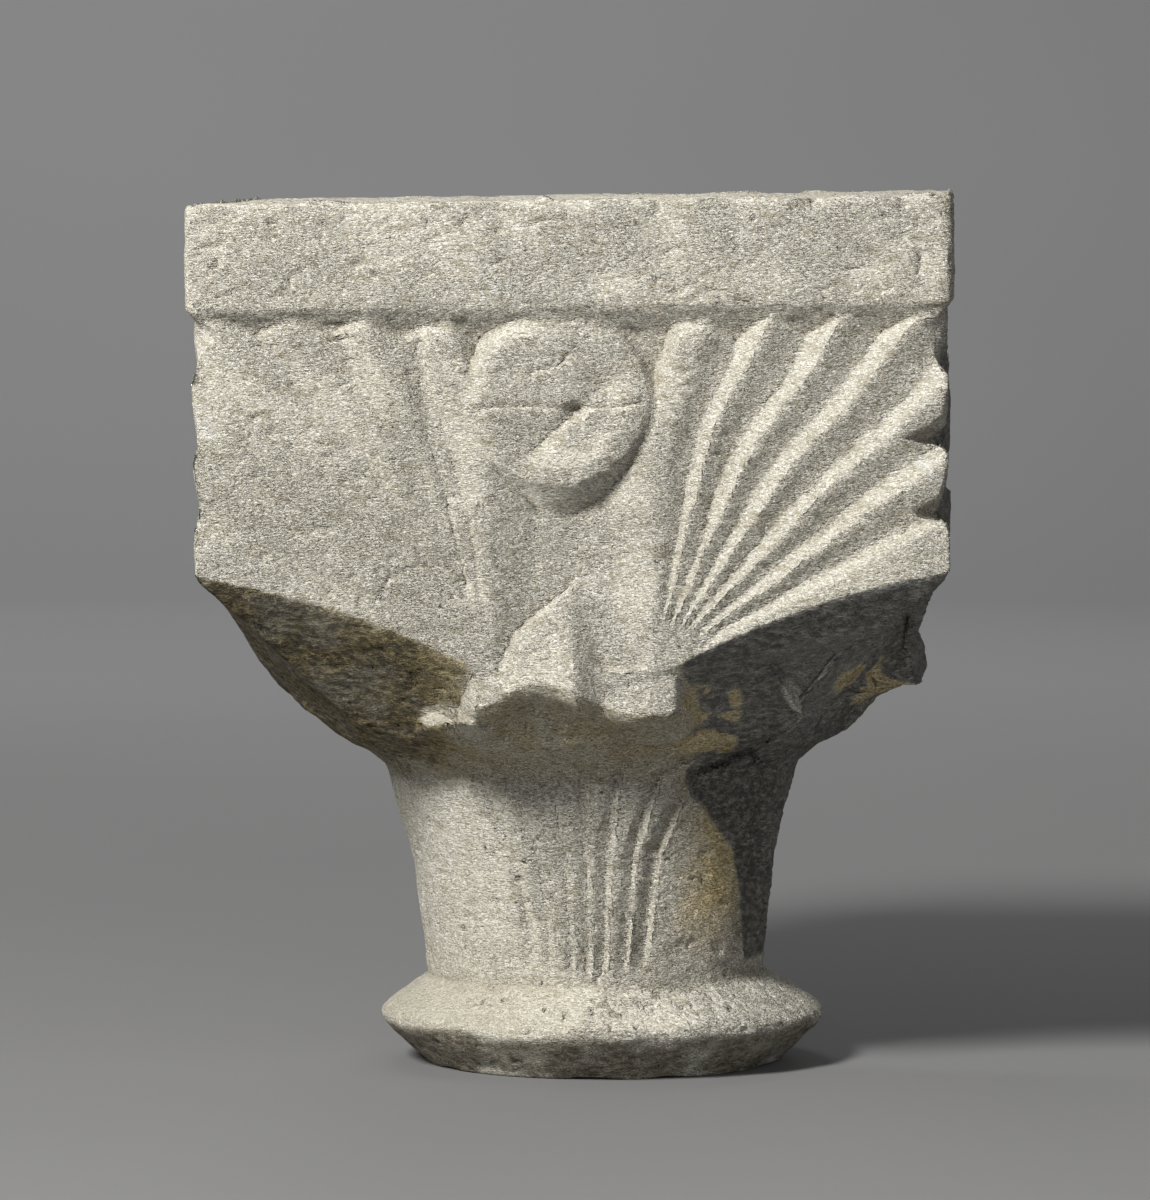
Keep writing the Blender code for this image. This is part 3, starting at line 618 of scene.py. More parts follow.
def neck_surface(u, z, face):
    """Neck with the grooves that part its stems."""
    radius = neck_radius(z)
    angle = np.degrees(np.arcsin(np.clip(u / radius, SMALLEST - 1.0, 1.0 - SMALLEST)))
    spread = stem_spread(z)
    blend = rise(angle, -STEM_WEAR_BLEND, STEM_WEAR_BLEND)
    kept = face["left stems"] + (face["right stems"] - face["left stems"]) * blend
    cut = np.zeros_like(angle)
    for share in STEM_LINES:
        away = np.radians(np.abs(angle - share * spread)) * radius
        cut = np.maximum(cut, groove(away, STEM_GROOVE_HALF_WIDTH, STEM_GROOVE_DEPTH))
    for side in (-1.0, 1.0):
        away = np.radians(np.abs(angle - side * spread)) * radius
        cut = np.maximum(cut, groove(away, OUTER_GROOVE_HALF_WIDTH, OUTER_GROOVE_DEPTH))
    on_neck = rise(z, FOOT_HEIGHT + STEM_FADE_START, FOOT_HEIGHT + STEM_FADE_END)
    radius = radius - cut * kept * on_neck
    return np.sqrt(np.maximum(radius * radius - u * u, SMALLEST))


def bracket_surface(u, z):
    """Sloping underside of the corners, a little arched on each side of the diagonal."""
    slope = (HALF_BLOCK - BRACKET_REACH) * (1.0 + BRACKET_TURN) / (CORNER_HEIGHT - BRACKET_HEIGHT)
    along = np.clip((np.abs(u) - BRACKET_ARCH_START) / (HALF_BLOCK - BRACKET_ARCH_START), 0.0, 1.0)
    arch = BRACKET_ARCH * 4.0 * along * (1.0 - along)
    return HALF_BLOCK - BRACKET_TURN * (np.abs(u) - HALF_BLOCK) + slope * (z - arch - CORNER_HEIGHT)


def hollow(u, z, depth):
    """How far a face sinks in towards the middle of its foot."""
    across = np.clip(np.abs(u) / HALF_BLOCK, 0.0, 1.0) ** FAN_HOLLOW_CURVE
    down = np.clip((SLAB_UNDERSIDE - z) / (SLAB_UNDERSIDE - FAN_ROOT_HEIGHT), 0.0, FAN_HOLLOW_LIMIT)
    return depth * (1.0 - across) * down**FAN_HOLLOW_RISE


def fan_surface(u, z, kept):
    """Height above the plain face of a fan leaf that spreads from its root towards +u."""
    du = u - FAN_ROOT_SPREAD
    dz = z - FAN_ROOT_HEIGHT
    reach = np.hypot(du, dz)
    angle = np.degrees(np.arctan2(dz, du))
    steep = (angle - BEND_FROM_ANGLE) / (BEND_FULL_ANGLE - BEND_FROM_ANGLE)
    outer = rise(reach, *FAN_BEND_RANGE)
    bent = angle + FAN_BEND * np.clip(steep, FAN_BEND_LEAST, 1.0) * outer
    within = (bent < FAN_FIRST_RIDGE) & (bent > FAN_LAST_RIDGE)
    turns = np.mod((FAN_FIRST_RIDGE - bent) / FAN_PITCH + 0.5, 1.0) - 0.5
    crest = -FLUTE_CREST_SHIFT * rise(reach, *FLUTE_SHIFT_RANGE)
    valley = np.where(turns < crest, (crest - turns) / (crest + 0.5), (turns - crest) / (0.5 - crest))
    valley = np.where(within, rise(valley, 0.0, 1.0), 0.0)
    start = np.clip((reach - FLUTE_START_REACH) / (FLUTE_FULL_REACH - FLUTE_START_REACH), 0.0, 1.0)
    depth = FLUTE_DEPTH * start**FLUTE_DEEPENING
    deeper = TIP_NOTCH_DEPTH * np.clip((z - FAN_TIP_HEIGHT + TIP_NOTCH_REACH) / TIP_NOTCH_REACH, 0.0, 1.0)
    notch = np.where(within, np.abs(turns) * 2.0, 0.0) ** TIP_NOTCH_CURVE
    notch = notch * (TIP_NOTCH_LEAST + (1.0 - TIP_NOTCH_LEAST) * kept)
    outline = FAN_TIP_HEIGHT - FAN_TIP_NOTCH * notch
    outline = outline - FIRST_TIP_DROP * rise(bent, FAN_FIRST_RIDGE - FAN_PITCH, FAN_FIRST_RIDGE)
    beyond = FAN_TIP_SLOPE * np.maximum(z - outline, 0.0)
    inner = np.radians(np.clip(bent - FAN_FIRST_RIDGE - FAN_MARGIN, 0.0, 90.0))
    slope = FAN_INNER_SLOPE + (FAN_MARGIN_SLOPE - FAN_INNER_SLOPE) * outer
    return -(depth + deeper) * valley * kept - beyond - slope * np.sin(inner) * reach


def ground_depth(u, z):
    """Depth of the ground between the fans behind their face."""
    plain = np.interp(z, (FAN_ROOT_HEIGHT, SLOPE_FOOT), (GROUND_LOW_DEPTH, GROUND_TOP_DEPTH))
    away = np.minimum(np.abs(u) / VALLEY_HALF_WIDTH, 1.0)
    return plain + VALLEY_DEPTH * (VALLEY_LEVEL - away)


def boss_surface(u, z, shift, eye_shift, kept):
    """Round boss with sloping petals, an off-centre eye, and a side that runs out to a tail below."""
    du = u - shift
    dz = (z - BOSS_HEIGHT) * BOSS_FLATNESS
    reach = np.hypot(du, dz)
    share = np.clip(reach / BOSS_RADIUS, 0.0, 1.0)
    eye_across = du - eye_shift
    eye_up = dz + BOSS_EYE_DROP
    turn = np.mod(np.degrees(np.arctan2(eye_up, eye_across)), 360.0)
    petal = PETAL_DEPTH * np.interp(turn, PETAL_TURNS, PETAL_SHARES)
    petal = petal * np.clip(share / PETAL_START, 0.0, 1.0) * (1.0 - PETAL_RIM_FADE * share**4)
    edge = BOSS_EDGE_ROUND * rise(share, BOSS_EDGE_START, 1.0)
    dish = BOSS_DISH * (1.0 - rise(share, *BOSS_DISH_RANGE))
    eye = np.hypot(eye_across, eye_up * BOSS_EYE_FLATNESS) / BOSS_EYE_RADIUS
    hole = BOSS_EYE_DEPTH * np.clip(BOSS_EYE_STEEPNESS * (1.0 - eye), 0.0, 1.0)
    downward = np.clip(-dz / np.maximum(reach, SMALLEST), 0.0, 1.0) ** BOSS_TAIL_CURVE
    fall = BOSS_SIDE_SLOPE + (BOSS_TAIL_SLOPE - BOSS_SIDE_SLOPE) * downward
    past = np.maximum(reach - BOSS_RADIUS, 0.0)
    return HALF_SLAB - BOSS_SET_BACK - (petal + edge + dish + hole) * kept - fall * past


def leaf_profile(face):
    """Heights up the middle of the folded leaf, and how far it stands out at each."""
    reach = face["leaf reach"]
    root = HALF_BLOCK - face["hollow"] - LEAF_ROOT_SINK
    tip = HALF_BLOCK - hollow(0.0, LEAF_TIP_HEIGHT, face["hollow"]) - ground_depth(0.0, LEAF_TIP_HEIGHT)
    points = [(LEAF_LIP_HEIGHT - UNDER_LEAF_HEIGHT - SECTION_MARGIN, 0.0)]
    for share, drawn_in in UNDER_LEAF_PROFILE:
        points.append((LEAF_LIP_HEIGHT - UNDER_LEAF_HEIGHT * share, reach - drawn_in))
    points.append((LEAF_LIP_HEIGHT, reach))
    halfway = (LEAF_LIP_HEIGHT + LEAF_WIDEST_HEIGHT) / 2
    points.append((halfway, root + (reach - root) * LEAF_HALFWAY_SWELL))
    points.append((LEAF_WIDEST_HEIGHT, root + (reach - root) * LEAF_WIDEST_SWELL))
    upper = LEAF_WIDEST_HEIGHT + (LEAF_TIP_HEIGHT - LEAF_WIDEST_HEIGHT) * LEAF_UPPER_SHARE
    middle = (root + tip) / 2
    points.append((upper, middle + (reach - middle) * LEAF_UPPER_SWELL))
    points.append((LEAF_TIP_HEIGHT, tip))
    return points


def leaf_surface(u, z, face):
    """Folded leaf: a tent that leans out to a lip with two lobes, and its underside."""
    kept = face["leaf carving"]
    arch = 1.0 - rise(np.abs(u - face["arch shift"]), 0.0, ARCH_HALF_WIDTH)
    left = rise(-u, *LEAF_LEFT_RISE_RANGE)
    local = z - LEAF_ARCH * kept * arch - LEAF_LEFT_RISE * left
    points = leaf_profile(face)
    surface = np.interp(local, [height for height, _ in points], [reach for _, reach in points])
    opening = np.clip((LEAF_TIP_HEIGHT - z) / (LEAF_TIP_HEIGHT - LEAF_WIDEST_HEIGHT), 0.0, 1.0)
    across = u - face["fold shift"] * opening
    fold = np.maximum(-across / FOLD_STEEP_WIDTH, across / FOLD_GENTLE_WIDTH)
    crease = LEAF_FOLD_DEPTH * kept * opening * np.clip(1.0 - fold, 0.0, 1.0)
    past = np.maximum(np.abs(u) - LEAF_HALF_WIDTH * opening, 0.0)
    leaf = surface - LEAF_SIDE_FALL * np.abs(u) - crease - LEAF_SIDE_SLOPE * past
    inside = (z < LEAF_TIP_HEIGHT) & (local > LEAF_LIP_HEIGHT - UNDER_LEAF_HEIGHT)
    return np.where(inside, leaf, 0.0)


def stub_surface(u, z, kept):
    """Rough end of stone left standing below the broken lobe."""
    away = np.hypot((u - STUB_SHIFT) / STUB_HALF_WIDTH, (z - STUB_HEIGHT) / STUB_HALF_HEIGHT)
    stub = STUB_REACH - STUB_FALL * np.maximum(away - STUB_FLAT_SHARE, 0.0)
    return kept * np.where(away < STUB_LIMIT_SHARE, stub, 0.0)


def slab_surface(u, z):
    """Plain side of the slab, rounded towards its upright edges and its top."""
    radius = SLAB_EDGE_RADIUS
    past = np.clip((np.abs(u) - HALF_SLAB + radius) / radius, 0.0, 1.0)
    above = np.clip((z - TOTAL_HEIGHT + radius) / radius, 0.0, TOP_EDGE_SHARE)
    return HALF_SLAB - radius * (2.0 - np.sqrt(1.0 - past**2) - np.sqrt(1.0 - above**2))


def corner_limit(z, kept):
    """Half-width of the block at an upright corner, with its V cuts."""
    limit = np.full_like(z, HALF_BLOCK)
    for degrees in CORNER_CUT_ANGLES:
        across = HALF_BLOCK - CORNER_CUT_REACH - FAN_ROOT_SPREAD
        height = FAN_ROOT_HEIGHT + across * math.tan(math.radians(degrees))
        above = (z - height) / CORNER_CUT_ABOVE
        below = (height - z) / CORNER_CUT_BELOW
        cut = np.clip(1.0 - np.maximum(above, below), 0.0, 1.0)
        limit = limit - CORNER_CUT_DEPTH * cut * kept
    recess = 1.0 - rise(np.abs(z - SLOPE_FOOT), 0.0, RECESS_HEIGHT)
    return limit - RECESS_DEPTH * recess


def face_surface(u, z, face):
    """Distance from the axis to one face, at u across it and z up it."""
    left = fan_surface(-u, z, face["left fan"])
    right = fan_surface(u, z, face["right fan"])
    carved = np.maximum(np.maximum(left, right), -ground_depth(u, z))
    carved = HALF_BLOCK - hollow(u, z, face["hollow"]) + carved
    corner = np.where(u < 0.0, face["left corner"], face["right corner"])
    carved = np.minimum(carved, 2.0 * corner_limit(z, corner) - np.abs(u))
    carved = np.maximum(carved, boss_surface(u, z, face["boss shift"], face["eye shift"], face["boss"]))
    carved = np.minimum(carved, bracket_surface(u, z))
    carved = np.maximum(carved, leaf_surface(u, z, face))
    carved = np.maximum(carved, stub_surface(u, z, face["stub"]))
    column = np.where(z < CORNER_HEIGHT, np.sqrt(np.maximum(NECK_HIGH_RADIUS**2 - u * u, 0.0)), 0.0)
    neck = neck_surface(u, z, face)
    carved = np.where(z < NECK_HIGH_HEIGHT, neck, np.minimum(np.maximum(carved, column), neck))
    under_slab = HALF_SLAB - SLOPE_DEPTH / SLOPE_HEIGHT * np.maximum(SLAB_UNDERSIDE - z, 0.0)
    carved = np.where(z > SLOPE_FOOT - SECTION_MARGIN, np.maximum(carved, under_slab), carved)
    return np.where(z >= SLAB_UNDERSIDE, slab_surface(u, z), carved)


def corner_reach(z, face, next_face):
    """Where the right edge of one face meets the left edge of the next."""
    reach = np.full_like(z, HALF_SLAB)
    for _ in range(CORNER_STEPS):
        met = np.minimum(face_surface(reach, z, face), face_surface(-reach, z, next_face))
        reach = 0.5 * (reach + met)
    return reach


def section_heights():
    heights = []
    low = 0.0
    for high, step in STEP_BANDS:
        count = max(2, int(round((high - low) / step)))
        heights.extend(np.linspace(low, high, count, endpoint=False))
        low = high
    heights.append(TOTAL_HEIGHT)
    heights = np.array(heights)
    for mark in (FOOT_RIM_LOW, FOOT_RIM_HIGH, FOOT_HEIGHT, SLAB_UNDERSIDE):
        heights[np.argmin(np.abs(heights - mark))] = mark
    return heights


def section_grid():
    """Points of every section by height and column, with each column's u, z and face number."""
    heights = section_heights()
    corners = [corner_reach(heights, FACES[i], FACES[(i + 1) % 4]) for i in range(4)]
    blocks = []
    for number, face in enumerate(FACES):
        shares = np.linspace(-1.0, 1.0, COLUMNS[number] + 1)[:-1][:, None]
        shares = shares + COLUMN_CROWDING[number] * np.sin(math.pi * shares)
        limit = np.where(shares < 0.0, corners[number - 1][None, :], corners[number][None, :])
        u = shares * limit
        z = np.broadcast_to(heights, u.shape)
        w = np.minimum(face_surface(u, z, face), 2.0 * limit - np.abs(u))
        w[0] = limit[0]
        angle = number * math.pi / 2
        x = u * math.cos(angle) + w * math.sin(angle)
        y = u * math.sin(angle) - w * math.cos(angle)
        blocks.append(np.stack([x, y, z, u, np.full_like(u, number)], 2))
    grid = np.concatenate(blocks, 0).transpose(1, 0, 2)
    return grid[..., :3].copy(), grid[..., 3].copy(), grid[..., 4].copy()


def capped(points, rings):
    """Adds rings that close in on the axis, below the first section and above the last."""
    shares = np.linspace(0.0, 1.0, rings + 2)[1:-1] ** CAP_CROWDING
    low = []
    high = []
    for share in shares:
        for edge, into in ((points[0], low), (points[-1], high)):
            ring = edge.copy()
            ring[:, :2] *= 1.0 - share
            into.append(ring)
    return np.concatenate([np.array(low)[::-1], points, np.array(high)], 0)


def lean(points):
    """Tilts all above the foot about the Y axis and sets it off the centre of the foot."""
    angle = math.radians(LEAN_DEGREES)
    share = rise(points[..., 2], FOOT_RIM_HIGH, FOOT_HEIGHT + LEAN_FULL_RISE)
    x = points[..., 0]
    up = points[..., 2] - FOOT_HEIGHT
    tilted_x = x * math.cos(angle) - up * math.sin(angle) - FOOT_OFFSET
    tilted_z = FOOT_HEIGHT + x * math.sin(angle) + up * math.cos(angle)
    out = points.copy()
    out[..., 0] = x + share * (tilted_x - x)
    out[..., 2] = points[..., 2] + share * (tilted_z - points[..., 2])
    return out


def grid_normals(points):
    across = np.roll(points, -1, 1) - np.roll(points, 1, 1)
    up = np.gradient(points, axis=0)
    normal = np.cross(across, up)
    length = np.linalg.norm(normal, axis=2, keepdims=True)
    return normal / np.maximum(length, 1e-12)


def blurred(values, times, reach=1):
    """Mean of each value with its neighbours so many steps away in the grid, repeated."""
    for _ in range(times):
        up = np.concatenate([values[:1].repeat(reach, 0), values[:-reach]], 0)
        down = np.concatenate([values[reach:], values[-1:].repeat(reach, 0)], 0)
        across = np.roll(values, reach, 1) + np.roll(values, -reach, 1)
        values = (values * 2.0 + up + down + across) / 6.0
    return values


def worn_down(points, strength, times, reach=1):
    """Rounds edges that stand out, moving stone inwards only."""
    for _ in range(times):
        normal = grid_normals(points)
        towards = np.sum((blurred(points, 1, reach) - points) * normal, 2)
        points = points + normal * (np.minimum(towards, 0.0) * strength)[..., None]
    return points


def front_marks(u, z):
    """Depth of the cracks, the cuts and the long groove on the front."""
    growth = rise(z, *GROOVE_GROWTH)
    away = distance_to_line(u, z, GROOVE_LINE)
    depth = groove(away, blend(*GROOVE_HALF_WIDTHS, growth), blend(*GROOVE_DEPTHS, growth))
    for points, half_width, deepest in FRONT_MARKS:
        depth = np.maximum(depth, groove(distance_to_line(u, z, points), half_width, deepest))
    return depth


def crispness(u, z, front):
    """How little the carving is worn, from 0 to 1."""
    crisp = np.where(front, blend(*FRONT_CRISPNESS, rise(u, *FRONT_CRISP_FROM)), SIDE_CRISPNESS)
    leaf_tip = bump_at(u, *LEAF_TIP[0]) * bump_at(z, *LEAF_TIP[1])
    return crisp * region({"z": z}, CARVED) * (1.0 - LEAF_TIP_WEAR * leaf_tip * front)


def surface_wear(points, z, normal, worn):
    """Depth of the chips, waves, dimples, flakes, grain and pits."""
    edges = rise(-np.sum((blurred(points, EDGE_PASSES) - points) * normal, 2), *EDGE_RANGE)
    top = rise(z, *TOP_EDGE)
    chips = rise(layered_noise(points, *CHIP_NOISE) + TOP_CHIPPING * top, *CHIP_RANGE)
    depth = blend(*CHIP_DEPTHS, top) * edges * chips * worn
    depth += WAVE_DEPTH * (1.0 + layered_noise(points, *WAVE_NOISE)) * worn
    depth += DIMPLE_DEPTH * (1.0 + noise(points, *DIMPLE_NOISE)) * blend(*DIMPLE_SHARES, worn)
    flaky = points * np.array((1.0, 1.0, BED_FLATNESS))
    crumbling = layered_noise(points, *CRUMBLE_NOISE) + CRUMBLE_RIGHT * normal[..., 0]
    crumbled = blend(*CRUMBLE_SHARES, rise(crumbling, *CRUMBLE_RANGE))
    depth += FLAKE_DEPTH * crumbled * (1.0 - np.abs(noise(flaky, *FLAKE_NOISE)))
    depth += GRAIN_DEPTH * crumbled * (1.0 + noise(flaky, *GRAIN_NOISE))
    pits = sum(rise(noise(flaky, *source), *limits) for source, limits in PITS)
    depth += PIT_DEPTH * pits * blend(*PIT_SHARES, worn)
    upper_bed = rise(normal[..., 2], *UPPER_BED_FACING)
    for deepest, source in UPPER_BED_WAVES:
        depth += upper_bed * deepest * (1.0 + noise(points, *source))
    return depth


def weathered(points, u, number):
    """Wear, chips, grain, cracks and broken blocks cut into the plain form, and the tone of each block."""
    z = points[..., 2]
    front = number == 0
    worn = 1.0 - CRISP_SPARED * crispness(u, z, front)
    patches = rise(layered_noise(points, *PATCH_NOISE), *PATCH_RANGE)
    points = worn_down(points, blend(*WIDE_WEAR, patches) * worn**2, WIDE_WEAR_PASSES, WIDE_WEAR_REACH)
    points = worn_down(points, blend(*NARROW_WEAR, worn), NARROW_WEAR_PASSES)
    normal = grid_normals(points)
    depth = surface_wear(points, z, normal, worn)
    depth += np.where(front, front_marks(u, z), 0.0)
    depth = np.clip(depth, 0.0, DEEPEST_WEAR) * rise(z, *LOWER_BED_EDGE)
    downward = -grid_normals(blurred(points, SMOOTH_PASSES))[..., 2]
    share = region({"down": downward, "x": points[..., 0], "y": points[..., 1], "z": z}, FRACTURE)
    spot = share > 0.0
    tone = np.zeros_like(z)
    broken, tone[spot] = broken_blocks(points[spot], BLOCK_SIZE, BLOCK_SEED)
    depth[spot] += BLOCK_DEPTH * share[spot] * broken
    return points - normal * depth[..., None], tone


def crust_and_shade_masks(values, number, under):
    """Black crust, and the painted shade within and beside it."""
    crust = np.where(number == 1, region(values, CRUST_FACE), 0.0)
    crust = np.where(values["z"] < CRUST_NECK_TOP, region(values, CRUST_NECK), crust)
    # painted shadow in the arch, and painted shade under the left corner
    painted_shade = np.maximum(PAINTED_SHADOW_ARCH_SHARE * region(values, PAINTED_SHADOW_ARCH), under * region(values, PAINTED_SHADE_LEFT))
    return np.maximum(crust, under * region(values, CRUST_UNDER)), painted_shade


def ochre_masks(values, fine, under):
    """Ochre stain, and the bare spots where ochre shows through the crust."""
    x, y, z, rough = (values[name] for name in ("x", "y", "z", "rough"))
    turn, half_turn = OCHRE_TURN
    overlay = bump_at(values["turn"], turn + OCHRE_ROUGHNESS * rough, half_turn)
    overlay = overlay * region(values, OCHRE_NECK)
    overlay = np.maximum(overlay, CORNERS_SHARE * region(values, OCHRE_CORNERS))
    bare = bump_at(x, *FAR_SPOT[0]) * bump_at(z, *FAR_SPOT[1]) * under
    for share, across, up in NEAR_SPOTS:
        spot = bump_at(x, *across) * bump_at(z, *up) * rise(y, *NEAR_SPOTS_FRONT)
        bare = np.maximum(bare, share * spot)
    bare = np.clip(bare, 0.0, 1.0) * rise(RAGGED[0] * rough + RAGGED[1] * fine, *RAGGED_RANGE)
    return np.maximum(overlay, bare * BARE_OCHRE), bare


def soot_and_shade_mask(values, u, number, fine, under):
    x, z = values["x"], values["z"]
    patches = rise(values["rough"] + SOOT_AND_SHADE_FINE_SHARE * fine, *SOOT_AND_SHADE_PATCHES)
    # soot and painted shade on surfaces facing down
    soot_and_shade = under * rise(x, *SOOT_AND_SHADE_END) * blend(*SOOT_AND_SHADE_SHARES, patches)
    soot_and_shade = soot_and_shade * blend(*SOOT_AND_SHADE_MIDDLE, rise(x, *SOOT_AND_SHADE_LEFT))
    stub = bump_at(u, *STUB_CLEARED[0]) * bump_at(z, *STUB_CLEARED[1]) * (number == 0)
    return soot_and_shade * (1.0 - STUB_CLEARING * stub)


def chalk_mask(u, z, number):
    """Pale scratches and the blemish."""
    chalk = 1.0 - rise(np.hypot(u - BLEMISH_PLACE[0], z - BLEMISH_PLACE[1]), *BLEMISH_EDGE)
    for line in SCRATCHES:
        chalk = np.maximum(chalk, 1.0 - rise(distance_to_line(u, z, line), *SCRATCH_EDGE))
    return np.where(number == 0, chalk, 0.0)


def colour_masks(points, u, number, tone):
    """How far each stain and each painted shade covers the stone. What is stored is kept from 0 to 1."""
    x, y, z = points[..., 0], points[..., 1], points[..., 2]
    rough = layered_noise(points, *ROUGH_NOISE)
    fine = layered_noise(points, *FINE_NOISE)
    turn = np.degrees(np.arctan2(x, -y))
    normal = grid_normals(points)
    smooth = blurred(points, SMOOTH_PASSES)
    hollowness = np.sum((smooth - points) * normal, 2)
    values = {
        "x": x, "y": y, "z": z, "u": u, "side": np.abs(x), "turn": turn, "rough": rough,
        "up": normal[..., 2],
        "down": UNDER_ROUGHNESS * fine - grid_normals(smooth)[..., 2],
        "above arch": z - np.interp(turn, ARCH_TURNS, ARCH_HEIGHTS),
        "patches": rough + PATINA_FINE_SHARE * fine,
    }
    under = region(values, UNDERSIDE)
    crust, painted_shade = crust_and_shade_masks(values, number, under)
    ochre, bare = ochre_masks(values, fine, under)
    roughest, rightmost, uppermost = CRUMBLY_WEIGHTS
    crumbly = roughest * rough + rightmost * normal[..., 0] + uppermost * normal[..., 2]
    return {
        "crust": np.clip(crust, 0.0, 1.0) * (1.0 - np.clip(bare * BARE_CLEARING, 0.0, 1.0)),
        "ochre": ochre,
        "patina": np.maximum(region(values, PATINA_FOOT), SMOKE_SHARE * region(values, SMOKE)),
        "soot_and_shade": soot_and_shade_mask(values, u, number, fine, under),
        "painted_shade": painted_shade,
        "chalk": chalk_mask(u, z, number),
        "crevice": rise(hollowness + CREVICE_ROUGHNESS * fine, *CREVICE_RANGE),
        "crumbly": blend(*CRUMBLY_SHARES, rise(crumbly, *CRUMBLY_RANGE)),
        "exposed": rise(-hollowness + EXPOSED_ROUGHNESS * fine, *EXPOSED_RANGE),
        # painted shade on the slopes facing up at the left
        "painted_shade_up_left": region(values, UPWARD_PAINTED_SHADE),
        "tone": tone,
    }


def grid_mesh(points, masks):
    """Closed mesh over the grid of rings, with one stored value a point for each mask."""
    levels, count = points.shape[:2]
    first = np.arange(levels - 1)[:, None] * count
    column = np.arange(count)[None, :]
    after = (column + 1) % count
    sides = np.stack([first + column, first + after, first + count + after, first + count + column], 2)
    faces = sides.reshape(-1, 4).tolist()
    faces.append(list(range(count))[::-1])
    faces.append(list(range((levels - 1) * count, levels * count)))
    mesh = bpy.data.meshes.new("capital")
    mesh.from_pydata(points.reshape(-1, 3).tolist(), [], faces)
    for name, values in masks.items():
        stored = mesh.attributes.new(name, "FLOAT", "POINT")
        stored.data.foreach_set("value", np.clip(values, 0.0, 1.0).ravel().astype(np.float32))
    return mesh


def reduced(obj, budget):
    """Fewer triangles where the stone is plain."""
    faces = sum(len(face.vertices) - 2 for face in obj.data.polygons)
    fewer = obj.modifiers.new("fewer triangles", "DECIMATE")
    fewer.decimate_type = "COLLAPSE"
    fewer.ratio = min(1.0, budget / faces)
    graph = bpy.context.evaluated_depsgraph_get()
    mesh = bpy.data.meshes.new_from_object(obj.evaluated_get(graph))
    obj.modifiers.clear()
    obj.data = mesh


def carved_stone():
    points, u, number = section_grid()
    points = capped(points, CAP_RINGS)
    u = np.pad(u, ((CAP_RINGS, CAP_RINGS), (0, 0)), mode="edge")
    number = np.pad(number, ((CAP_RINGS, CAP_RINGS), (0, 0)), mode="edge")
    finished, tone = weathered(points, u, number)
    masks = colour_masks(finished, u, number, tone)
    obj = bpy.data.objects.new("capital", grid_mesh(lean(finished), masks))
    bpy.context.scene.collection.objects.link(obj)
    reduced(obj, TRIANGLE_BUDGET)
    obj.data.shade_smooth()
    return obj


class Nodes:
    """Short calls for building a material's node tree."""

    def __init__(self, name):
        self.material = bpy.data.materials.new(name)
        self.material.use_nodes = True
        self.tree = self.material.node_tree
        self.shader = self.tree.nodes["Principled BSDF"]
        self.place = self.flattened(self.add("ShaderNodeTexCoord", {}).outputs["Object"], BEDDING)

    def add(self, kind, inputs, **settings):
        node = self.tree.nodes.new(kind)
        for name, value in settings.items():
            setattr(node, name, value)
        for name, value in inputs.items():
            self.feed(node.inputs[name], value)
        return node

    def feed(self, socket, value):
        """Joins another node's output to a socket, or sets the socket's own value."""
        if isinstance(value, bpy.types.NodeSocket):
            self.tree.links.new(value, socket)
        else:
            socket.default_value = value

    def noise(self, scale, detail, roughness, place=None, output="Fac"):
        """Noise that is a little flatter than it is wide, like the beds of the stone."""
        inputs = {"Vector": place or self.place, "Scale": scale, "Detail": detail, "Roughness": roughness}
        return self.add("ShaderNodeTexNoise", inputs).outputs[output]

    def flattened(self, place, flatness):
        inputs = {"Vector": place, "Scale": (1.0, 1.0, flatness)}
        return self.add("ShaderNodeMapping", inputs).outputs["Vector"]

    def strewn(self):
        """Places stretched along the beds and pushed about, for flakes with ragged outlines."""
        inputs = {0: self.noise(*STREWN_NOISE, output="Color"), 1: STREWN_PUSH, 2: self.place}
        pushed = self.add("ShaderNodeVectorMath", inputs, operation="MULTIPLY_ADD")
        return self.flattened(pushed.outputs[0], STREWN_BEDDING)

    def grains(self, scale, place=None):
        """Packed grains: how far each place is from the middle of its grain, and the tone of the grain."""
        node = self.add("ShaderNodeTexVoronoi", {"Vector": place or self.place, "Scale": scale})
        parts = self.add("ShaderNodeSeparateColor", {"Color": node.outputs["Color"]})
        return node.outputs["Distance"], parts.outputs["Red"]

    def between(self, value, low, high, first=0.0, last=1.0):
        """Maps a value from the range low to high onto first to last, and stops there."""
        inputs = {"Value": value, "From Min": low, "From Max": high, "To Min": first, "To Max": last}
        return self.add("ShaderNodeMapRange", inputs).outputs["Result"]

    def maths(self, operation, first, second):
        return self.add("ShaderNodeMath", {0: first, 1: second}, operation=operation).outputs[0]

    def mask(self, name):
        return self.add("ShaderNodeAttribute", {}, attribute_name=name).outputs["Fac"]

    def mix(self, share, first, second):
        colours = [(*value, 1.0) if isinstance(value, tuple) else value for value in (first, second)]
        inputs = {0: share, 6: colours[0], 7: colours[1]}
        return self.add("ShaderNodeMix", inputs, data_type="RGBA").outputs[2]

    def bump(self, height, distance, before=None):
        inputs = {"Strength": 1.0, "Distance": distance, "Height": height}
        if before:
            inputs["Normal"] = before
        return self.add("ShaderNodeBump", inputs).outputs["Normal"]

    def tinted(self, colour, textures, tints):
        for name, start, full, strength, tint in tints:
            colour = self.mix(self.between(textures[name], start, full, 0.0, strength), colour, tint)
        return colour

    def toned(self, textures, tones, tints=()):
        start, full, first, last = tones
        colour = self.mix(self.between(textures["small"], start, full), first, last)
        return self.tinted(colour, textures, tints)

    def overlaid(self, colour, textures, overlay, overlay_colour):
        name, texture, *limits = overlay
        share = self.maths("MULTIPLY", self.mask(name), self.between(textures[texture], *limits))
        return self.mix(share, colour, overlay_colour)


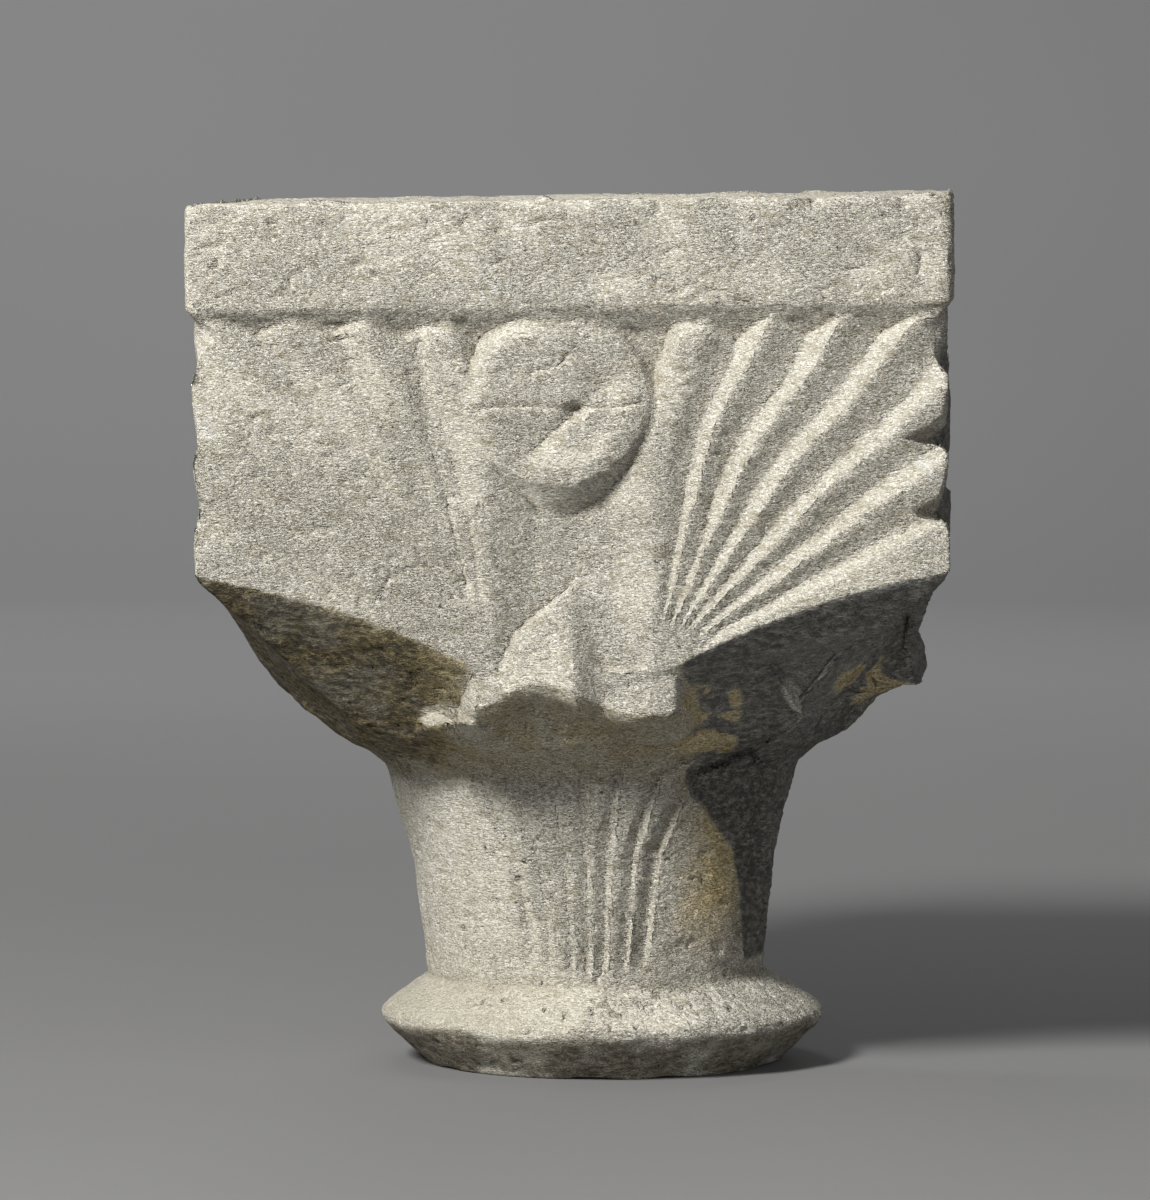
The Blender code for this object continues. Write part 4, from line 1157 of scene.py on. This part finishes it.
def sandstone():
    n = Nodes("sandstone")
    middle = n.noise(*MIDDLE_NOISE)
    small = n.noise(*SMALL_NOISE)
    flakes = n.noise(*FLAKES_NOISE, n.flattened(n.place, FLAKE_BEDDING))
    chip_gap, chips = n.grains(CHIP_SCALE, n.strewn())
    grain = n.grains(GRAIN_SCALE)[1]
    textures = {"middle": middle, "small": small, "flakes": flakes, "chips": chips, "grain": grain,
                "fine": n.grains(FINE_SCALE)[1], "blocks": n.mask("tone")}
    colour = n.mix(n.between(n.noise(*BROAD_NOISE), *STONE_TONE_RANGE), *STONE_TONES)
    colour = n.tinted(colour, textures, STONE_TINTS)
    shell = n.maths("MULTIPLY", n.between(n.grains(SHELL_SCALE)[0], *SHELL_EDGE),
                    n.between(middle, *SHELL_PATCHES))
    colour = n.mix(n.maths("MULTIPLY", shell, SHELL_STRENGTH), colour, SHELL_COLOUR)
    for name, strength, overlay_colour in PLAIN_OVERLAYS:
        colour = n.mix(n.maths("MULTIPLY", n.mask(name), strength), colour, overlay_colour)
    colour = n.overlaid(colour, textures, CREVICE, CREVICE_COLOUR)
    # soot and painted shade on the undersides
    colour = n.overlaid(colour, textures, SOOT_AND_SHADE, n.toned(textures, SOOT_AND_SHADE_TONES, SOOT_AND_SHADE_TINTS))
    colour = n.overlaid(colour, textures, PATINA, n.toned(textures, PATINA_TONES))
    colour = n.overlaid(colour, textures, OCHRE, n.toned(textures, OCHRE_TONES, OCHRE_TINTS))
    frayed = n.maths("ADD", n.mask("crust"), n.between(small, *CRUST_FRAYING))
    crust = n.between(frayed, *CRUST_RANGE)
    colour = n.mix(crust, colour, n.toned(textures, CRUST_TONES, CRUST_TINTS))
    # painted shade darkens the arch and the underside of the left corner
    colour = n.overlaid(colour, textures, PAINTED_SHADE, PAINTED_SHADE_COLOUR)
    colour = n.overlaid(colour, textures, CHALK, CHALK_COLOUR)
    n.feed(n.shader.inputs["Base Color"], colour)

    inputs = {0: crust, 2: n.between(flakes, *STONE_ROUGHNESS), 3: n.between(small, *CRUST_ROUGHNESS)}
    n.feed(n.shader.inputs["Roughness"], n.add("ShaderNodeMix", inputs, data_type="FLOAT").outputs[0])
    n.feed(n.shader.inputs["Specular IOR Level"], STONE_SPECULAR)

    crumbly = n.mask("crumbly")
    chipped = n.maths("MULTIPLY", n.between(chips, *CHIP_TONES), n.between(chip_gap, *CHIP_SLOPE))
    broken = n.maths("ADD", flakes, n.between(flakes, *FLAKE_STEP))
    relief = None
    for height, distance in ((small, SMALL_RELIEF), (chipped, CHIP_RELIEF), (broken, FLAKE_RELIEF)):
        relief = n.bump(n.maths("MULTIPLY", height, crumbly), distance, relief)
    n.feed(n.shader.inputs["Normal"], n.bump(grain, GRAIN_RELIEF, relief))
    return n.material


def backdrop():
    """Floor that sweeps up into the wall behind."""
    profile = [(PAPER_FRONT, 0.0), (PAPER_BEND_START, 0.0)]
    for step in range(1, PAPER_BEND_STEPS + 1):
        angle = math.radians(90.0 * step / PAPER_BEND_STEPS)
        profile.append((PAPER_BEND_START + PAPER_BEND_RADIUS * math.sin(angle),
                        PAPER_BEND_RADIUS - PAPER_BEND_RADIUS * math.cos(angle)))
    profile.append((PAPER_BEND_START + PAPER_BEND_RADIUS, PAPER_TOP))
    count = len(profile)
    corners = [(side, y, z) for side in (-PAPER_HALF_WIDTH, PAPER_HALF_WIDTH) for y, z in profile]
    faces = [(i, count + i, count + i + 1, i + 1) for i in range(count - 1)]
    mesh = bpy.data.meshes.new("backdrop")
    mesh.from_pydata(corners, [], faces)
    mesh.shade_smooth()
    n = Nodes("pale paper")
    paper_colour = n.mix(n.between(n.noise(*PAPER_NOISE), *PAPER_TONE_RANGE), *PAPER_TONES)
    n.feed(n.shader.inputs["Base Color"], paper_colour)
    n.feed(n.shader.inputs["Roughness"], PAPER_ROUGHNESS)
    mesh.materials.append(n.material)
    obj = bpy.data.objects.new("backdrop", mesh)
    bpy.context.scene.collection.objects.link(obj)
    return obj


def turned(x, y, z):
    """A place given as seen from the camera: right, away, up."""
    angle = math.radians(CAMERA_TURN)
    return Vector((x * math.cos(angle) - y * math.sin(angle), x * math.sin(angle) + y * math.cos(angle), z))


def soft_light(name, place, target, size, power, colour):
    data = bpy.data.lights.new(name, "AREA")
    data.shape = "DISK"
    data.size = size
    data.energy = power
    data.color = colour
    light = bpy.data.objects.new(name, data)
    light.location = turned(*place)
    light.rotation_euler = (turned(*target) - light.location).to_track_quat("-Z", "Y").to_euler()
    bpy.context.scene.collection.objects.link(light)


def lights():
    for light in LIGHTS:
        soft_light(*light)
    world = bpy.data.worlds.new("studio")
    world.use_nodes = True
    background = world.node_tree.nodes["Background"]
    background.inputs["Color"].default_value = ROOM_COLOUR
    background.inputs["Strength"].default_value = ROOM_STRENGTH
    bpy.context.scene.world = world


def camera():
    data = bpy.data.cameras.new("camera")
    data.lens = CAMERA_LENS
    data.clip_end = CAMERA_REACH
    obj = bpy.data.objects.new("camera", data)
    rise_angle = math.radians(CAMERA_RISE)
    target = turned(TARGET_SHIFT, 0.0, TARGET_HEIGHT)
    away = turned(0.0, -CAMERA_DISTANCE * math.cos(rise_angle), CAMERA_DISTANCE * math.sin(rise_angle))
    obj.location = target + away
    obj.rotation_euler = (target - obj.location).to_track_quat("-Z", "Y").to_euler()
    bpy.context.scene.collection.objects.link(obj)
    bpy.context.scene.camera = obj


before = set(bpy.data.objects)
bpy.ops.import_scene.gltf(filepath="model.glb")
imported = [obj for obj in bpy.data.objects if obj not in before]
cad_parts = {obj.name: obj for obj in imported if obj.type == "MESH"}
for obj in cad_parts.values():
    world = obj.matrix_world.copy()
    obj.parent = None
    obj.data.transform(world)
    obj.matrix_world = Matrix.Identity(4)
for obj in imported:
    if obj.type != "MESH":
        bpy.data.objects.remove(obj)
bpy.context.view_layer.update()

capital = carved_stone()
capital.data.materials.clear()
capital.data.materials.append(sandstone())
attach(capital, "root")
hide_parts("sandstone_capital")

backdrop()
lights()
camera()
bpy.context.scene.view_settings.view_transform = "Standard"
